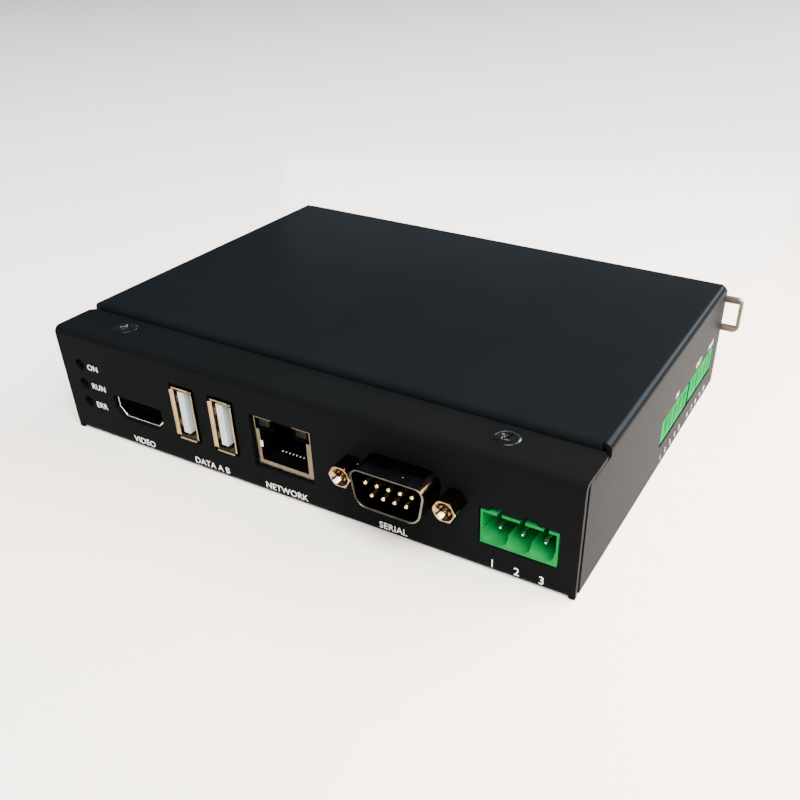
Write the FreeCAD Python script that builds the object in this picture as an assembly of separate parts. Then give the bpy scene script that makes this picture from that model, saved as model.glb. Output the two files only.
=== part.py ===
import FreeCAD, Part
import math
import os

# Control box computer for a machine's operator station, clipped to a mounting rail.
# A folded chassis carries a circuit board whose sockets show through the front panel, and a
# folded cover closes the top and both sides. A sprung latch on the rear grips the rail.
# Frame: origin on the underside at the middle of the case, +X to the terminal side,
# +Y to the rear, +Z up. All sizes are in millimetres.

Vector = FreeCAD.Vector
TINY = 1e-6
CUT_MARGIN = 1.0
ROD_SIDES = 10
DISC_SIDES = 20

# Case: folded sheet metal
CASE_DEPTH = 104.0
CASE_HEIGHT = 30.0
SHEET = 1.2
BEND = 0.6
LID_BEND = 0.2
COVER_GAP = 0.2
FLANGE_DEPTH = 12.4
FLANGE_CORNER = 1.2
LID_STEP = 1.4
LIP_SETBACK = 3.0
TAB_CLEAR = 1.0
SIDE_SETBACK = 2.4
FOOT_GAP = 0.3
BEND_RELIEF = 0.2
CORNER_RELIEF = 0.6
REAR_DROP = 0.6

# Front panel, from its left edge: clear spaces between the sockets
LAMP_INSET = 6.2
LAMP_CLEAR = 9.6
DATA_CLEAR = 5.6
DATA_PITCH = 11.6
NETWORK_CLEAR = 5.5
SERIAL_CLEAR = 8.6
POWER_CLEAR = 2.9
POWER_INSET = 4.45
WINDOW_GAP = 0.4

# Countersunk screws that hold the cover, and their nuts
SCREW_R = 1.5
SCREW_HEAD_R = 2.9
SCREW_LENGTH = 5.0
SCREW_FIT = 0.05
HOLE_GAP = 0.2
RECESS_R = 1.6
RECESS_WIDTH = 0.7
RECESS_DEPTH = 0.9
COVER_SCREW_Y = 8.0
COVER_SCREW_INSET_LEFT = 16.0
COVER_SCREW_INSET_RIGHT = 20.0
REAR_SCREW_INSET = 14.0
NUT_R = 2.75
NUT_HEIGHT = 2.0
PAN_HEAD_R = 2.75
PAN_HEAD_HEIGHT = 2.0
PAN_TOP_R = 2.0

# Circuit board and its stand-offs
BOARD_THICKNESS = 1.6
STANDOFF_HEIGHT = 4.4
STANDOFF_R = 3.0
STANDOFF_SPIGOT_R = 2.1
BOARD_SIDE_GAP = 1.8
BOARD_FRONT_GAP = 0.8
BOARD_REAR_GAP = 4.8
STANDOFF_INSET_X = 21.0
STANDOFF_FRONT_INSET = 28.0
STANDOFF_REAR_INSET = 5.0

# Status lamps: three light pipes one above the other
LAMP_COUNT = 3
LAMP_R = 1.35
LAMP_PITCH = 5.25
LAMP_LIFT = 0.05
LAMP_RECESS = 1.3
LAMP_REACH = 5.0
LAMP_STAGGER = 3.4
LED_SIZE = 2.0
LED_HEIGHT = 0.5

# Video socket
VIDEO_WIDTH = 15.0
VIDEO_HEIGHT = 5.6
VIDEO_SIDE = 3.3
VIDEO_TAPER = 2.0
VIDEO_LIFT = 0.5
VIDEO_RECESS = 1.0
VIDEO_FOOT_INSET = 0.6
VIDEO_DEPTH = 12.0
VIDEO_PLUG_DEPTH = 8.0
VIDEO_TONGUE_WIDTH = 11.0
VIDEO_TONGUE = 1.3
SOCKET_SKIN = 0.4

# Data sockets, standing on edge
DATA_WIDTH = 5.9
DATA_HEIGHT = 13.2
DATA_LIFT = 1.2
DATA_DEPTH = 14.0
DATA_PLUG_DEPTH = 10.5
DATA_TONGUE = 1.84
DATA_TONGUE_HEIGHT = 11.1
DATA_TONGUE_GAP = 0.9
DATA_TONGUE_RECESS = 0.3
DATA_LIP = 0.45

# Network socket
JACK_WIDTH = 16.0
JACK_HEIGHT = 13.2
JACK_DEPTH = 21.0
JACK_SKIN = 0.35
JACK_RECESS = 0.8
JACK_FRAME = 1.5
JACK_FRAME_LOW = 2.0
JACK_FRAME_TOP = 0.6
JACK_FRAME_THIN = 0.5
JACK_PLUG_WIDTH = 11.9
JACK_PLUG_HEIGHT = 7.2
JACK_PLUG_DEPTH = 13.0
JACK_FLOOR = 2.4
JACK_NOTCH = 5.6
JACK_LAMP_WIDTH = 2.8
JACK_LAMP_HEIGHT = 1.9
JACK_LAMP_DEPTH = 8.0
CONTACT_COUNT = 8
CONTACT_PITCH = 1.02
CONTACT_WIDTH = 0.45
CONTACT_THICKNESS = 0.25
CONTACT_RISE = 1.6

# Serial connector
SERIAL_WIDTH = 18.3
SERIAL_HEIGHT = 9.2
SERIAL_CORNER = 2.6
SERIAL_SLANT = math.radians(10.0)
SERIAL_LIFT = 8.9
SERIAL_REACH = 6.6
SERIAL_SKIN = 0.4
SERIAL_FLANGE_HEIGHT = 12.5
SERIAL_FLANGE = 0.8
SERIAL_BODY_DEPTH = 9.0
SERIAL_PIN_R = 0.5
SERIAL_PIN_TIP = 0.5
PIN_SIDES = 8
SERIAL_PIN_PITCH = 2.77
SERIAL_ROW_PITCH = 2.84
SERIAL_TOP_PINS = 5
SERIAL_PIN_RECESS = 0.6
JACK_NUT_PITCH = 24.99
JACK_NUT_FLATS = 4.8
JACK_NUT_LENGTH = 5.2
JACK_NUT_HOLE_R = 1.25
JACK_NUT_HOLE_DEPTH = 4.4
JACK_NUT_STUD_R = 1.4
JACK_NUT_STUD = 5.0
SERIAL_FLANGE_END = 2.905
SERIAL_FLANGE_WIDTH = JACK_NUT_PITCH + 2 * SERIAL_FLANGE_END

# Plug-in terminal headers: the supply header in front, two signal headers on the side
HEADER_WALL = 0.6
HEADER_BACK = 2.2
HEADER_KEY = 1.8
HEADER_KEY_DEPTH = 0.3
HEADER_PIN_RECESS = 2.0
HEADER_PIN_LIFT = 0.4
PIN_FIT = 0.02
POWER_POLES = 3
POWER_PITCH = 5.08
POWER_RIDGE = 0.3
POWER_END = 0.93
POWER_END_WALL = 0.5
POWER_HEIGHT = 8.4
POWER_DEPTH = 12.0
POWER_PIN = 1.0
POWER_RIB = 0.9
POWER_RIB_WIDTH = 2.0
IO_POLES = 5
IO_PITCH = 3.81
IO_RIDGE = 1.3
IO_END = 1.2
IO_HEIGHT = 6.5
IO_DEPTH = 9.2
IO_PIN = 0.8
IO_REAR_INSET = 6.5
IO_SPACING = 1.9
IO_SILL_DROP = 0.7

# Parts on the board behind the sockets
PROCESSOR_SIZE = 15.0
PROCESSOR_HEIGHT = 1.6
SINK_SIZE = 30.0
SINK_BASE = 2.5
SINK_HEIGHT = 10.0
SINK_FINS = 7
SINK_FIN = 1.2
MEMORY_LENGTH = 13.0
MEMORY_WIDTH = 9.0
MEMORY_HEIGHT = 1.2
MEMORY_PITCH = 12.0
MEMORY_OFFSET = 26.0
CELL_R = 10.0
CELL_HEIGHT = 3.2
CELL_FLOOR = 0.8
CELL_WALL = 1.2
CELL_FIT = 0.1
CELL_INSET = 20.5
COIL_SIZE = 12.0
COIL_HEIGHT = 6.0
COIL_OFFSET = 34.0
CAN_R = 4.0
CAN_HEIGHT = 11.5
CAN_PITCH = 10.0
CAN_GROOVE = 0.3
CAN_GROOVE_WIDTH = 1.0
CAN_GROOVE_LIFT = 2.0
TRANSFORMER_WIDTH = 16.0
TRANSFORMER_DEPTH = 9.0
TRANSFORMER_HEIGHT = 6.0
ISOLATOR_LENGTH = 10.0
ISOLATOR_WIDTH = 5.0
ISOLATOR_HEIGHT = 3.5
ISOLATOR_COUNT = 4
ISOLATOR_PITCH = 8.0
PART_SPACE = 2.5

# Rail clip on the rear panel: folded channel, sliding latch and its spring
RAIL_WIDTH = 35.0
RAIL_THICKNESS = 1.0
RAIL_FIT = 0.3
RAIL_SEAT = 6.5
RAIL_DROP = 12.2
CLIP_SHEET = 1.5
CLIP_LEFT = 26.0
CLIP_END = 2.8
CLIP_HOOK_REACH = 3.0
CLIP_HOOK_THICKNESS = 2.0
CLIP_TOWER_GAP = 1.6
CLIP_TOWER_CAP = 1.2
CLIP_SCREW_X = 11.0
CLIP_TAB_WIDTH = 5.0
LATCH_WIDTH = 10.0
LATCH_SHEET = 1.5
LATCH_FIT = 0.2
LATCH_SIDE_GAP = 0.3
LATCH_GRIP = 2.0
LATCH_EAR = 8.0
LATCH_EAR_REACH = 0.6
LATCH_EAR_START = 6.4
LATCH_TRAVEL = 4.5
LATCH_TAB_SPACE = 5.5
LATCH_CORNER = 1.8
LOOP_PROUD = 3.5
LOOP_END = 1.0
LOOP_LIMB = 1.5
LOOP_HOLE = 5.4
SPRING_R = 2.2
SPRING_WIRE_R = 0.3
SPRING_PRESSED = 9.5
SPRING_TURNS = 5
SPRING_STEPS = 6
SPRING_SIDES = 5
SPRING_GAP = 0.1

# Places worked out from the sizes above
POWER_LENGTH = POWER_POLES * POWER_PITCH + 2 * POWER_END
IO_LENGTH = IO_POLES * IO_PITCH + 2 * IO_END
SERIAL_SPAN = JACK_NUT_PITCH + JACK_NUT_FLATS / math.cos(math.pi / 6)
PANEL_SPACES = (LAMP_INSET + LAMP_CLEAR + DATA_CLEAR + NETWORK_CLEAR + SERIAL_CLEAR
                + POWER_CLEAR + POWER_INSET)
PANEL_SOCKETS = VIDEO_WIDTH + DATA_WIDTH + DATA_PITCH + JACK_WIDTH + SERIAL_SPAN + POWER_LENGTH
CASE_WIDTH = PANEL_SPACES + PANEL_SOCKETS
LEFT = -CASE_WIDTH / 2
RIGHT = CASE_WIDTH / 2
FRONT = -CASE_DEPTH / 2
REAR = CASE_DEPTH / 2
BEND_OUT = BEND + SHEET
LID_BEND_OUT = LID_BEND + SHEET
FLANGE_TOP = CASE_HEIGHT - LID_STEP
RAIL_Z = CASE_HEIGHT - RAIL_DROP
LIP_TOP = FLANGE_TOP - SHEET
BOARD_BOTTOM = SHEET + STANDOFF_HEIGHT
BOARD_TOP = BOARD_BOTTOM + BOARD_THICKNESS
BOARD_LEFT = LEFT + SHEET + BOARD_SIDE_GAP
BOARD_RIGHT = RIGHT - SHEET - BOARD_SIDE_GAP
BOARD_FRONT = FRONT + SHEET + BOARD_FRONT_GAP
BOARD_REAR = REAR - SHEET - BOARD_REAR_GAP
LAMP_X = LEFT + LAMP_INSET
VIDEO_X = LAMP_X + LAMP_CLEAR + VIDEO_WIDTH / 2
DATA_X = VIDEO_X + VIDEO_WIDTH / 2 + DATA_CLEAR + DATA_WIDTH / 2
NETWORK_X = DATA_X + DATA_PITCH + DATA_WIDTH / 2 + NETWORK_CLEAR + JACK_WIDTH / 2
SERIAL_X = NETWORK_X + JACK_WIDTH / 2 + SERIAL_CLEAR + SERIAL_SPAN / 2
POWER_X = RIGHT - POWER_INSET - POWER_LENGTH / 2
SERIAL_Z = BOARD_TOP + SERIAL_LIFT
IO_REAR_Y = REAR - IO_REAR_INSET - IO_LENGTH / 2
IO_FRONT_Y = IO_REAR_Y - IO_LENGTH - IO_SPACING
CELL_X = BOARD_LEFT + CELL_INSET
STANDOFFS = [(x, y)
             for x in (BOARD_LEFT + STANDOFF_INSET_X, BOARD_RIGHT - STANDOFF_INSET_X)
             for y in (BOARD_FRONT + STANDOFF_FRONT_INSET, BOARD_REAR - STANDOFF_REAR_INSET)]
TAB_OUT = REAR - SHEET - COVER_GAP
TAB_BOTTOM = RAIL_Z + NUT_R + TAB_CLEAR
REAR_SCREW_Z = (TAB_BOTTOM + CASE_HEIGHT - BEND_OUT) / 2
FRONT_SCREWS = [LEFT + COVER_SCREW_INSET_LEFT, RIGHT - COVER_SCREW_INSET_RIGHT]
REAR_SCREWS = [LEFT + REAR_SCREW_INSET, RIGHT - REAR_SCREW_INSET]
LATCH_LOW = REAR + RAIL_SEAT + RAIL_THICKNESS + RAIL_FIT
LATCH_HIGH = LATCH_LOW + LATCH_SHEET
CLIP_INSIDE = LATCH_WIDTH / 2 + LATCH_SIDE_GAP
CLIP_OUTSIDE = CLIP_INSIDE + CLIP_SHEET
TOWER_X = RAIL_WIDTH / 2 + CLIP_TOWER_GAP
EAR_X = TOWER_X + LATCH_EAR_START
SPRING_LENGTH = SPRING_PRESSED + LATCH_TRAVEL
SPRING_X = EAR_X + LATCH_EAR + LATCH_TAB_SPACE + LATCH_SHEET + SPRING_GAP
CLIP_TAB_X = SPRING_X + SPRING_LENGTH + SPRING_GAP
CLIP_RIGHT = CLIP_TAB_X + CLIP_SHEET + CLIP_TAB_WIDTH + CLIP_END
SPRING_Y = REAR + (CLIP_SHEET + RAIL_SEAT + RAIL_THICKNESS) / 2


def across(x):
    """Points drawn as (y, z) in the plane at this x."""
    return lambda p: Vector(x, p.x, p.y)


def upright(y):
    """Points drawn as (x, z) in the plane at this y."""
    return lambda p: Vector(p.x, y, p.y)


def level(z):
    """Points drawn as (x, y) in the plane at this z."""
    return lambda p: Vector(p.x, p.y, z)


def rounded_face(corners, place):
    """Flat face through (a, b, radius) corners, each corner rounded to its radius."""
    arcs = []
    for index, (a, b, radius) in enumerate(corners):
        corner = Vector(a, b, 0)
        before = corners[index - 1]
        after = corners[(index + 1) % len(corners)]
        back = (Vector(before[0], before[1], 0) - corner).normalize()
        ahead = (Vector(after[0], after[1], 0) - corner).normalize()
        if radius < TINY:
            arcs.append((corner, corner, corner))
            continue
        half = back.getAngle(ahead) / 2
        reach = radius / math.tan(half)
        sag = radius / math.sin(half) - radius
        inward = (back + ahead).normalize()
        arcs.append((corner + back * reach, corner + inward * sag, corner + ahead * reach))
    edges = []
    for index, (start, middle, end) in enumerate(arcs):
        if start.distanceToPoint(end) > TINY:
            edges.append(Part.Arc(place(start), place(middle), place(end)).toShape())
        following = arcs[(index + 1) % len(arcs)][0]
        if end.distanceToPoint(following) > TINY:
            edges.append(Part.LineSegment(place(end), place(following)).toShape())
    return Part.Face(Part.Wire(edges))


def folded_corners(path, sheet, bend):
    """Outline corners of a sheet bent along a path; the metal lies to the left of the path."""
    outer = []
    inner = []
    points = [Vector(a, b, 0) for a, b in path]
    for index, point in enumerate(points):
        runs = []
        if index > 0:
            runs.append((point - points[index - 1]).normalize())
        if index < len(points) - 1:
            runs.append((points[index + 1] - point).normalize())
        lefts = [Vector(-run.y, run.x, 0) for run in runs]
        if len(runs) == 1:
            offset = lefts[0] * sheet
            radii = (0, 0)
        else:
            offset = (lefts[0] + lefts[1]) * (sheet / (1 + lefts[0].dot(lefts[1])))
            turns_left = runs[0].cross(runs[1]).z > 0
            radii = (bend + sheet, bend) if turns_left else (bend, bend + sheet)
        outer.append((point.x, point.y, radii[0]))
        inner.append((point.x + offset.x, point.y + offset.y, radii[1]))
    return outer + inner[::-1]


def block(x, y, z):
    """Box from its (low, high) limits along each axis."""
    corner = Vector(x[0], y[0], z[0])
    return Part.makeBox(x[1] - x[0], y[1] - y[0], z[1] - z[0], corner)


def span(middle, size):
    """Low and high limits of a size about its middle."""
    return (middle - size / 2, middle + size / 2)


def regular_wire(sides, radius, turn=0.0):
    """Closed regular polygon about the Z axis, its corners on the radius."""
    corners = []
    for k in range(sides + 1):
        angle = turn + k * 2 * math.pi / sides
        corners.append(Vector(radius * math.cos(angle), radius * math.sin(angle), 0))
    return Part.makePolygon(corners)


def set_along(shape, start, direction):
    """Shape drawn along Z, moved to start and turned along the direction."""
    shape.Placement = FreeCAD.Placement(start, FreeCAD.Rotation(Vector(0, 0, 1), direction))
    return shape


def rod(radius, length, start, direction, sides=ROD_SIDES):
    """Small rod or hole of few faces."""
    prism = Part.Face(regular_wire(sides, radius)).extrude(Vector(0, 0, length))
    return set_along(prism, start, direction)


def taper(sides, radii, length, start, direction, turn=0.0):
    """Tapered rod of few faces, from the first radius to the second."""
    rings = []
    for radius, height in zip(radii, (0, length)):
        wire = regular_wire(sides, radius, turn)
        wire.translate(Vector(0, 0, height))
        rings.append(wire)
    faces = [Part.Face(ring) for ring in rings]
    near, far = [[v.Point for v in ring.OrderedVertexes] for ring in rings]
    for k in range(sides):
        after = (k + 1) % sides
        side = [near[k], near[after], far[after], far[k], near[k]]
        faces.append(Part.Face(Part.makePolygon(side)))
    return set_along(Part.makeSolid(Part.makeShell(faces)), start, direction)


def cross_recess(start, direction):
    """Cross-shaped driver recess cut into a screw head from its top."""
    bars = []
    for angle in (0, 90):
        bar = Part.makeBox(2 * RECESS_R, RECESS_WIDTH, RECESS_DEPTH,
                           Vector(-RECESS_R, -RECESS_WIDTH / 2, 0))
        bar.rotate(Vector(0, 0, 0), Vector(0, 0, 1), angle)
        bars.append(bar)
    return set_along(bars[0].fuse(bars[1]).removeSplitter(), start, direction)


def countersunk_screw(start, direction):
    """Screw with its flat head at start, pointing along direction."""
    cone_depth = SCREW_HEAD_R - SCREW_R
    head = taper(DISC_SIDES, (SCREW_HEAD_R, SCREW_R), cone_depth, start, direction)
    shank = rod(SCREW_R, SCREW_LENGTH - cone_depth, start + direction * cone_depth, direction)
    return head.fuse(shank).removeSplitter().cut(cross_recess(start, direction))


def countersink(start, direction):
    """Clearance cut for a countersunk screw head and its shank through one sheet."""
    radius = SCREW_HEAD_R + SCREW_FIT
    return taper(DISC_SIDES, (radius, radius - SHEET), SHEET, start, direction)


def pan_screw(seat, direction, length):
    """Screw with a round head on the seat; direction points into the hole."""
    out = direction * -PAN_HEAD_HEIGHT
    head = taper(ROD_SIDES, (PAN_TOP_R, PAN_HEAD_R), PAN_HEAD_HEIGHT, seat + out, direction)
    return head.fuse(rod(SCREW_R, length, seat, direction))


def nut(seat, direction, bore):
    """Hexagonal nut fixed to a sheet's inner face."""
    body = rod(NUT_R, NUT_HEIGHT, seat, direction, 6)
    return body.cut(rod(bore, NUT_HEIGHT, seat, direction))


def group(solids):
    return Part.Compound(solids)


def chassis():
    """Front panel with its top flange, floor and rear panel, folded from one sheet."""
    half = CASE_WIDTH / 2
    inner_half = half - SHEET - COVER_GAP
    panel_path = [(FRONT + FLANGE_DEPTH, FLANGE_TOP), (FRONT, FLANGE_TOP), (FRONT, BEND_OUT)]
    tray_path = [(FRONT, BEND_OUT), (FRONT, 0), (REAR, 0), (REAR, CASE_HEIGHT - REAR_DROP)]
    panel = rounded_face(folded_corners(panel_path, SHEET, BEND), across(-half))
    tray = rounded_face(folded_corners(tray_path, SHEET, BEND), across(-inner_half))
    body = panel.extrude(Vector(CASE_WIDTH, 0, 0))
    body = body.fuse(tray.extrude(Vector(2 * inner_half, 0, 0)))
    for side in (-1, 1):
        limits = sorted((side * inner_half, side * half))
        body = body.fuse(block(limits, (FRONT, FRONT + SHEET), (FOOT_GAP, BEND_OUT)))
    body = body.removeSplitter()
    cuts = panel_windows() + fastener_holes() + flange_corners()
    return body.cut(cuts).removeSplitter()


def flange_corners():
    """Cuts that slant the two rear corners of the front flange."""
    cuts = []
    rear = FRONT + FLANGE_DEPTH
    for edge, side in ((LEFT, 1), (RIGHT, -1)):
        corners = [(edge, rear - FLANGE_CORNER, 0), (edge, rear, 0), (edge + side * FLANGE_CORNER, rear, 0)]
        face = rounded_face(corners, level(FLANGE_TOP - SHEET))
        cuts.append(face.extrude(Vector(0, 0, SHEET)))
    return cuts


def panel_windows():
    """Cut-outs of the front panel, one for each socket and lamp."""
    through = (FRONT - CUT_MARGIN, FRONT + SHEET + CUT_MARGIN)
    depth = Vector(0, through[1] - through[0], 0)
    video = video_outline(WINDOW_GAP, through[0])
    serial = serial_outline(WINDOW_GAP, through[0])
    cuts = [video.extrude(depth), serial.extrude(depth)]
    for x in (DATA_X, DATA_X + DATA_PITCH):
        width = DATA_WIDTH + 2 * (DATA_LIP + WINDOW_GAP)
        height = DATA_HEIGHT + 2 * (DATA_LIP + WINDOW_GAP)
        cuts.append(block(span(x, width), through, span(data_middle(), height)))
    jack_width = JACK_WIDTH + 2 * WINDOW_GAP
    jack_z = (BOARD_TOP - WINDOW_GAP, BOARD_TOP + JACK_HEIGHT + WINDOW_GAP)
    cuts.append(block(span(NETWORK_X, jack_width), through, jack_z))
    power_z = (BOARD_TOP - WINDOW_GAP, BOARD_TOP + POWER_HEIGHT + WINDOW_GAP)
    cuts.append(block(span(POWER_X, POWER_LENGTH + 2 * WINDOW_GAP), through, power_z))
    for x in rib_places():
        rib_z = (BOARD_TOP, BOARD_TOP + POWER_HEIGHT + POWER_RIB + WINDOW_GAP)
        rib_width = POWER_RIB_WIDTH + 2 * WINDOW_GAP
        cuts.append(block(span(POWER_X + x, rib_width), through, rib_z))
    for x in jack_nut_places():
        start = Vector(x, through[0], SERIAL_Z)
        cuts.append(rod(JACK_NUT_STUD_R + HOLE_GAP, through[1] - through[0], start, Vector(0, 1, 0)))
    for z in lamp_heights():
        start = Vector(LAMP_X, through[0], z)
        cuts.append(rod(LAMP_R + HOLE_GAP, through[1] - through[0], start, Vector(0, 1, 0), DISC_SIDES))
    return cuts


def fastener_holes():
    """Holes of the chassis for cover screws, clip screws and stand-offs."""
    cuts = []
    for x in FRONT_SCREWS:
        cuts.append(countersink(Vector(x, FRONT + COVER_SCREW_Y, FLANGE_TOP), Vector(0, 0, -1)))
    for x in REAR_SCREWS:
        cuts.append(countersink(Vector(x, REAR, REAR_SCREW_Z), Vector(0, -1, 0)))
    for x in clip_screw_places():
        start = Vector(x, REAR - 2 * SHEET, RAIL_Z)
        cuts.append(rod(SCREW_R + HOLE_GAP, 3 * SHEET, start, Vector(0, 1, 0)))
    for x, y in STANDOFFS:
        cuts.append(rod(STANDOFF_SPIGOT_R + SCREW_FIT, SHEET, Vector(x, y, 0), Vector(0, 0, 1), 6))
    return cuts


def cover():
    """Top and both sides, folded from one sheet, with a lip that slips under the front flange."""
    half = CASE_WIDTH / 2
    web = FRONT + FLANGE_DEPTH + LID_BEND + COVER_GAP
    top_limits = (web + LID_BEND_OUT, TAB_OUT - LID_BEND_OUT)
    hoop_path = [(half, FOOT_GAP), (half, CASE_HEIGHT), (-half, CASE_HEIGHT), (-half, FOOT_GAP)]
    hoop = rounded_face(folded_corners(hoop_path, SHEET, BEND), upright(top_limits[0]))
    body = hoop.extrude(Vector(0, top_limits[1] - top_limits[0], 0))
    lid_half = half - BEND_OUT - BEND_RELIEF
    lid_path = [(TAB_OUT, TAB_BOTTOM), (TAB_OUT, CASE_HEIGHT), (web, CASE_HEIGHT),
                (web, LIP_TOP), (FRONT + LIP_SETBACK, LIP_TOP)]
    lid = rounded_face(folded_corners(lid_path, SHEET, LID_BEND), across(-lid_half))
    body = body.fuse(lid.extrude(Vector(2 * lid_half, 0, 0)))
    strips = rounded_face(folded_corners(hoop_path, SHEET, BEND), upright(web + CORNER_RELIEF))
    strips = strips.extrude(Vector(0, TAB_OUT - web - CORNER_RELIEF, 0))
    for side in (-1, 1):
        wall = sorted((side * half, side * (half - SHEET)))
        bend = sorted((side * half, side * (half - BEND_OUT)))
        front_z = (FOOT_GAP, LIP_TOP - COVER_GAP)
        body = body.fuse(block(wall, (FRONT + SIDE_SETBACK, top_limits[0]), front_z))
        body = body.fuse(strips.common(block(bend, (web, TAB_OUT), (LIP_TOP - SHEET, CASE_HEIGHT))))
        body = body.fuse(block(wall, (top_limits[1], REAR), (FOOT_GAP, CASE_HEIGHT - BEND_OUT)))
    body = body.removeSplitter()
    cuts = []
    for x in FRONT_SCREWS:
        start = Vector(x, FRONT + COVER_SCREW_Y, LIP_TOP - SHEET)
        cuts.append(rod(SCREW_R + 2 * HOLE_GAP, SHEET, start, Vector(0, 0, 1)))
    for x in REAR_SCREWS:
        start = Vector(x, TAB_OUT - SHEET, REAR_SCREW_Z)
        cuts.append(rod(SCREW_R + 2 * HOLE_GAP, SHEET, start, Vector(0, 1, 0)))
    window_y = (IO_FRONT_Y - IO_LENGTH / 2 - WINDOW_GAP, IO_REAR_Y + IO_LENGTH / 2 + WINDOW_GAP)
    window_z = (BOARD_TOP - IO_SILL_DROP, BOARD_TOP + IO_HEIGHT + WINDOW_GAP)
    cuts.append(block((RIGHT - 2 * SHEET, RIGHT + CUT_MARGIN), window_y, window_z))
    return body.cut(cuts).removeSplitter()


def cover_front_screws():
    seats = [Vector(x, FRONT + COVER_SCREW_Y, FLANGE_TOP) for x in FRONT_SCREWS]
    return group([countersunk_screw(seat, Vector(0, 0, -1)) for seat in seats])


def cover_rear_screws():
    seats = [Vector(x, REAR, REAR_SCREW_Z) for x in REAR_SCREWS]
    return group([countersunk_screw(seat, Vector(0, -1, 0)) for seat in seats])


def cover_front_nuts():
    seats = [Vector(x, FRONT + COVER_SCREW_Y, LIP_TOP - SHEET) for x in FRONT_SCREWS]
    return group([nut(seat, Vector(0, 0, -1), SCREW_R + SCREW_FIT) for seat in seats])


def cover_rear_nuts():
    seats = [Vector(x, TAB_OUT - SHEET, REAR_SCREW_Z) for x in REAR_SCREWS]
    return group([nut(seat, Vector(0, -1, 0), SCREW_R + SCREW_FIT) for seat in seats])


def main_board():
    board = block((BOARD_LEFT, BOARD_RIGHT), (BOARD_FRONT, BOARD_REAR), (BOARD_BOTTOM, BOARD_TOP))
    holes = [rod(SCREW_R + HOLE_GAP, BOARD_THICKNESS, Vector(x, y, BOARD_BOTTOM), Vector(0, 0, 1))
             for x, y in STANDOFFS]
    return board.cut(holes)


def board_standoffs():
    """Hexagonal stand-offs pressed into the floor, flush underneath."""
    posts = []
    for x, y in STANDOFFS:
        foot = Vector(x, y, 0)
        seat = Vector(x, y, SHEET)
        post = rod(STANDOFF_R, STANDOFF_HEIGHT, seat, Vector(0, 0, 1), 6)
        post = post.fuse(rod(STANDOFF_SPIGOT_R, SHEET, foot, Vector(0, 0, 1), 6))
        bore = rod(SCREW_R + SCREW_FIT, STANDOFF_HEIGHT, seat, Vector(0, 0, 1))
        posts.append(post.cut(bore))
    return group(posts)


def board_screws():
    length = BOARD_THICKNESS + STANDOFF_HEIGHT - SHEET
    seats = [Vector(x, y, BOARD_TOP) for x, y in STANDOFFS]
    return group([pan_screw(seat, Vector(0, 0, -1), length) for seat in seats])


def lamp_heights():
    lowest = BOARD_TOP + LED_HEIGHT + LAMP_LIFT + LAMP_R
    return [lowest + k * LAMP_PITCH for k in range(LAMP_COUNT)]


def lamp_legs():
    """Distance behind the panel at which each light pipe turns down to its lamp."""
    return [FRONT + LAMP_REACH + k * LAMP_STAGGER for k in range(LAMP_COUNT)]


def light_pipe(index):
    """Clear rod from the panel, cut at 45 degrees where it turns down to the board."""
    z = lamp_heights()[index]
    leg = lamp_legs()[index]
    start = FRONT + LAMP_RECESS
    foot = BOARD_TOP + LED_HEIGHT
    run = rod(LAMP_R, leg + LAMP_R - start, Vector(LAMP_X, start, z), Vector(0, 1, 0))
    drop = rod(LAMP_R, z + LAMP_R - foot, Vector(LAMP_X, leg, foot), Vector(0, 0, 1))
    pipe = run.fuse(drop)
    mirror = [(leg - LAMP_R, z + LAMP_R, 0), (leg + LAMP_R, z - LAMP_R, 0),
              (leg + 2 * LAMP_R, z + 2 * LAMP_R, 0)]
    face = rounded_face(mirror, across(LAMP_X - LAMP_R))
    return pipe.cut(face.extrude(Vector(2 * LAMP_R, 0, 0)))


def status_leds():
    foot = (BOARD_TOP, BOARD_TOP + LED_HEIGHT)
    return group([block(span(LAMP_X, LED_SIZE), span(leg, LED_SIZE), foot) for leg in lamp_legs()])


def video_outline(grow, y):
    """Socket outline, wide side up, with both lower corners drawn in."""
    half = VIDEO_WIDTH / 2
    bottom = BOARD_TOP + VIDEO_LIFT
    top = bottom + VIDEO_HEIGHT
    corners = [(VIDEO_X - half, top, SOCKET_SKIN), (VIDEO_X - half, top - VIDEO_SIDE, SOCKET_SKIN),
               (VIDEO_X - half + VIDEO_TAPER, bottom, SOCKET_SKIN),
               (VIDEO_X + half - VIDEO_TAPER, bottom, SOCKET_SKIN),
               (VIDEO_X + half, top - VIDEO_SIDE, SOCKET_SKIN), (VIDEO_X + half, top, SOCKET_SKIN)]
    face = rounded_face(corners, upright(y))
    if grow == 0:
        return face
    return Part.Face(face.OuterWire.makeOffset2D(grow))


def video_port_shell():
    mouth = FRONT + VIDEO_RECESS
    body = video_outline(0, mouth).extrude(Vector(0, VIDEO_DEPTH, 0))
    inside = video_outline(-SOCKET_SKIN, mouth).extrude(Vector(0, VIDEO_DEPTH, 0))
    shell = body.cut(inside)
    foot_x = VIDEO_WIDTH / 2 - VIDEO_TAPER - SOCKET_SKIN
    for x in (VIDEO_X - foot_x, VIDEO_X + foot_x):
        for y in (BOARD_FRONT + VIDEO_FOOT_INSET, mouth + VIDEO_DEPTH - VIDEO_FOOT_INSET):
            foot = block(span(x, 2 * SOCKET_SKIN), span(y, 2 * SOCKET_SKIN),
                         (BOARD_TOP, BOARD_TOP + VIDEO_LIFT + SOCKET_SKIN))
            shell = shell.fuse(foot)
    return shell.removeSplitter()


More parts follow.
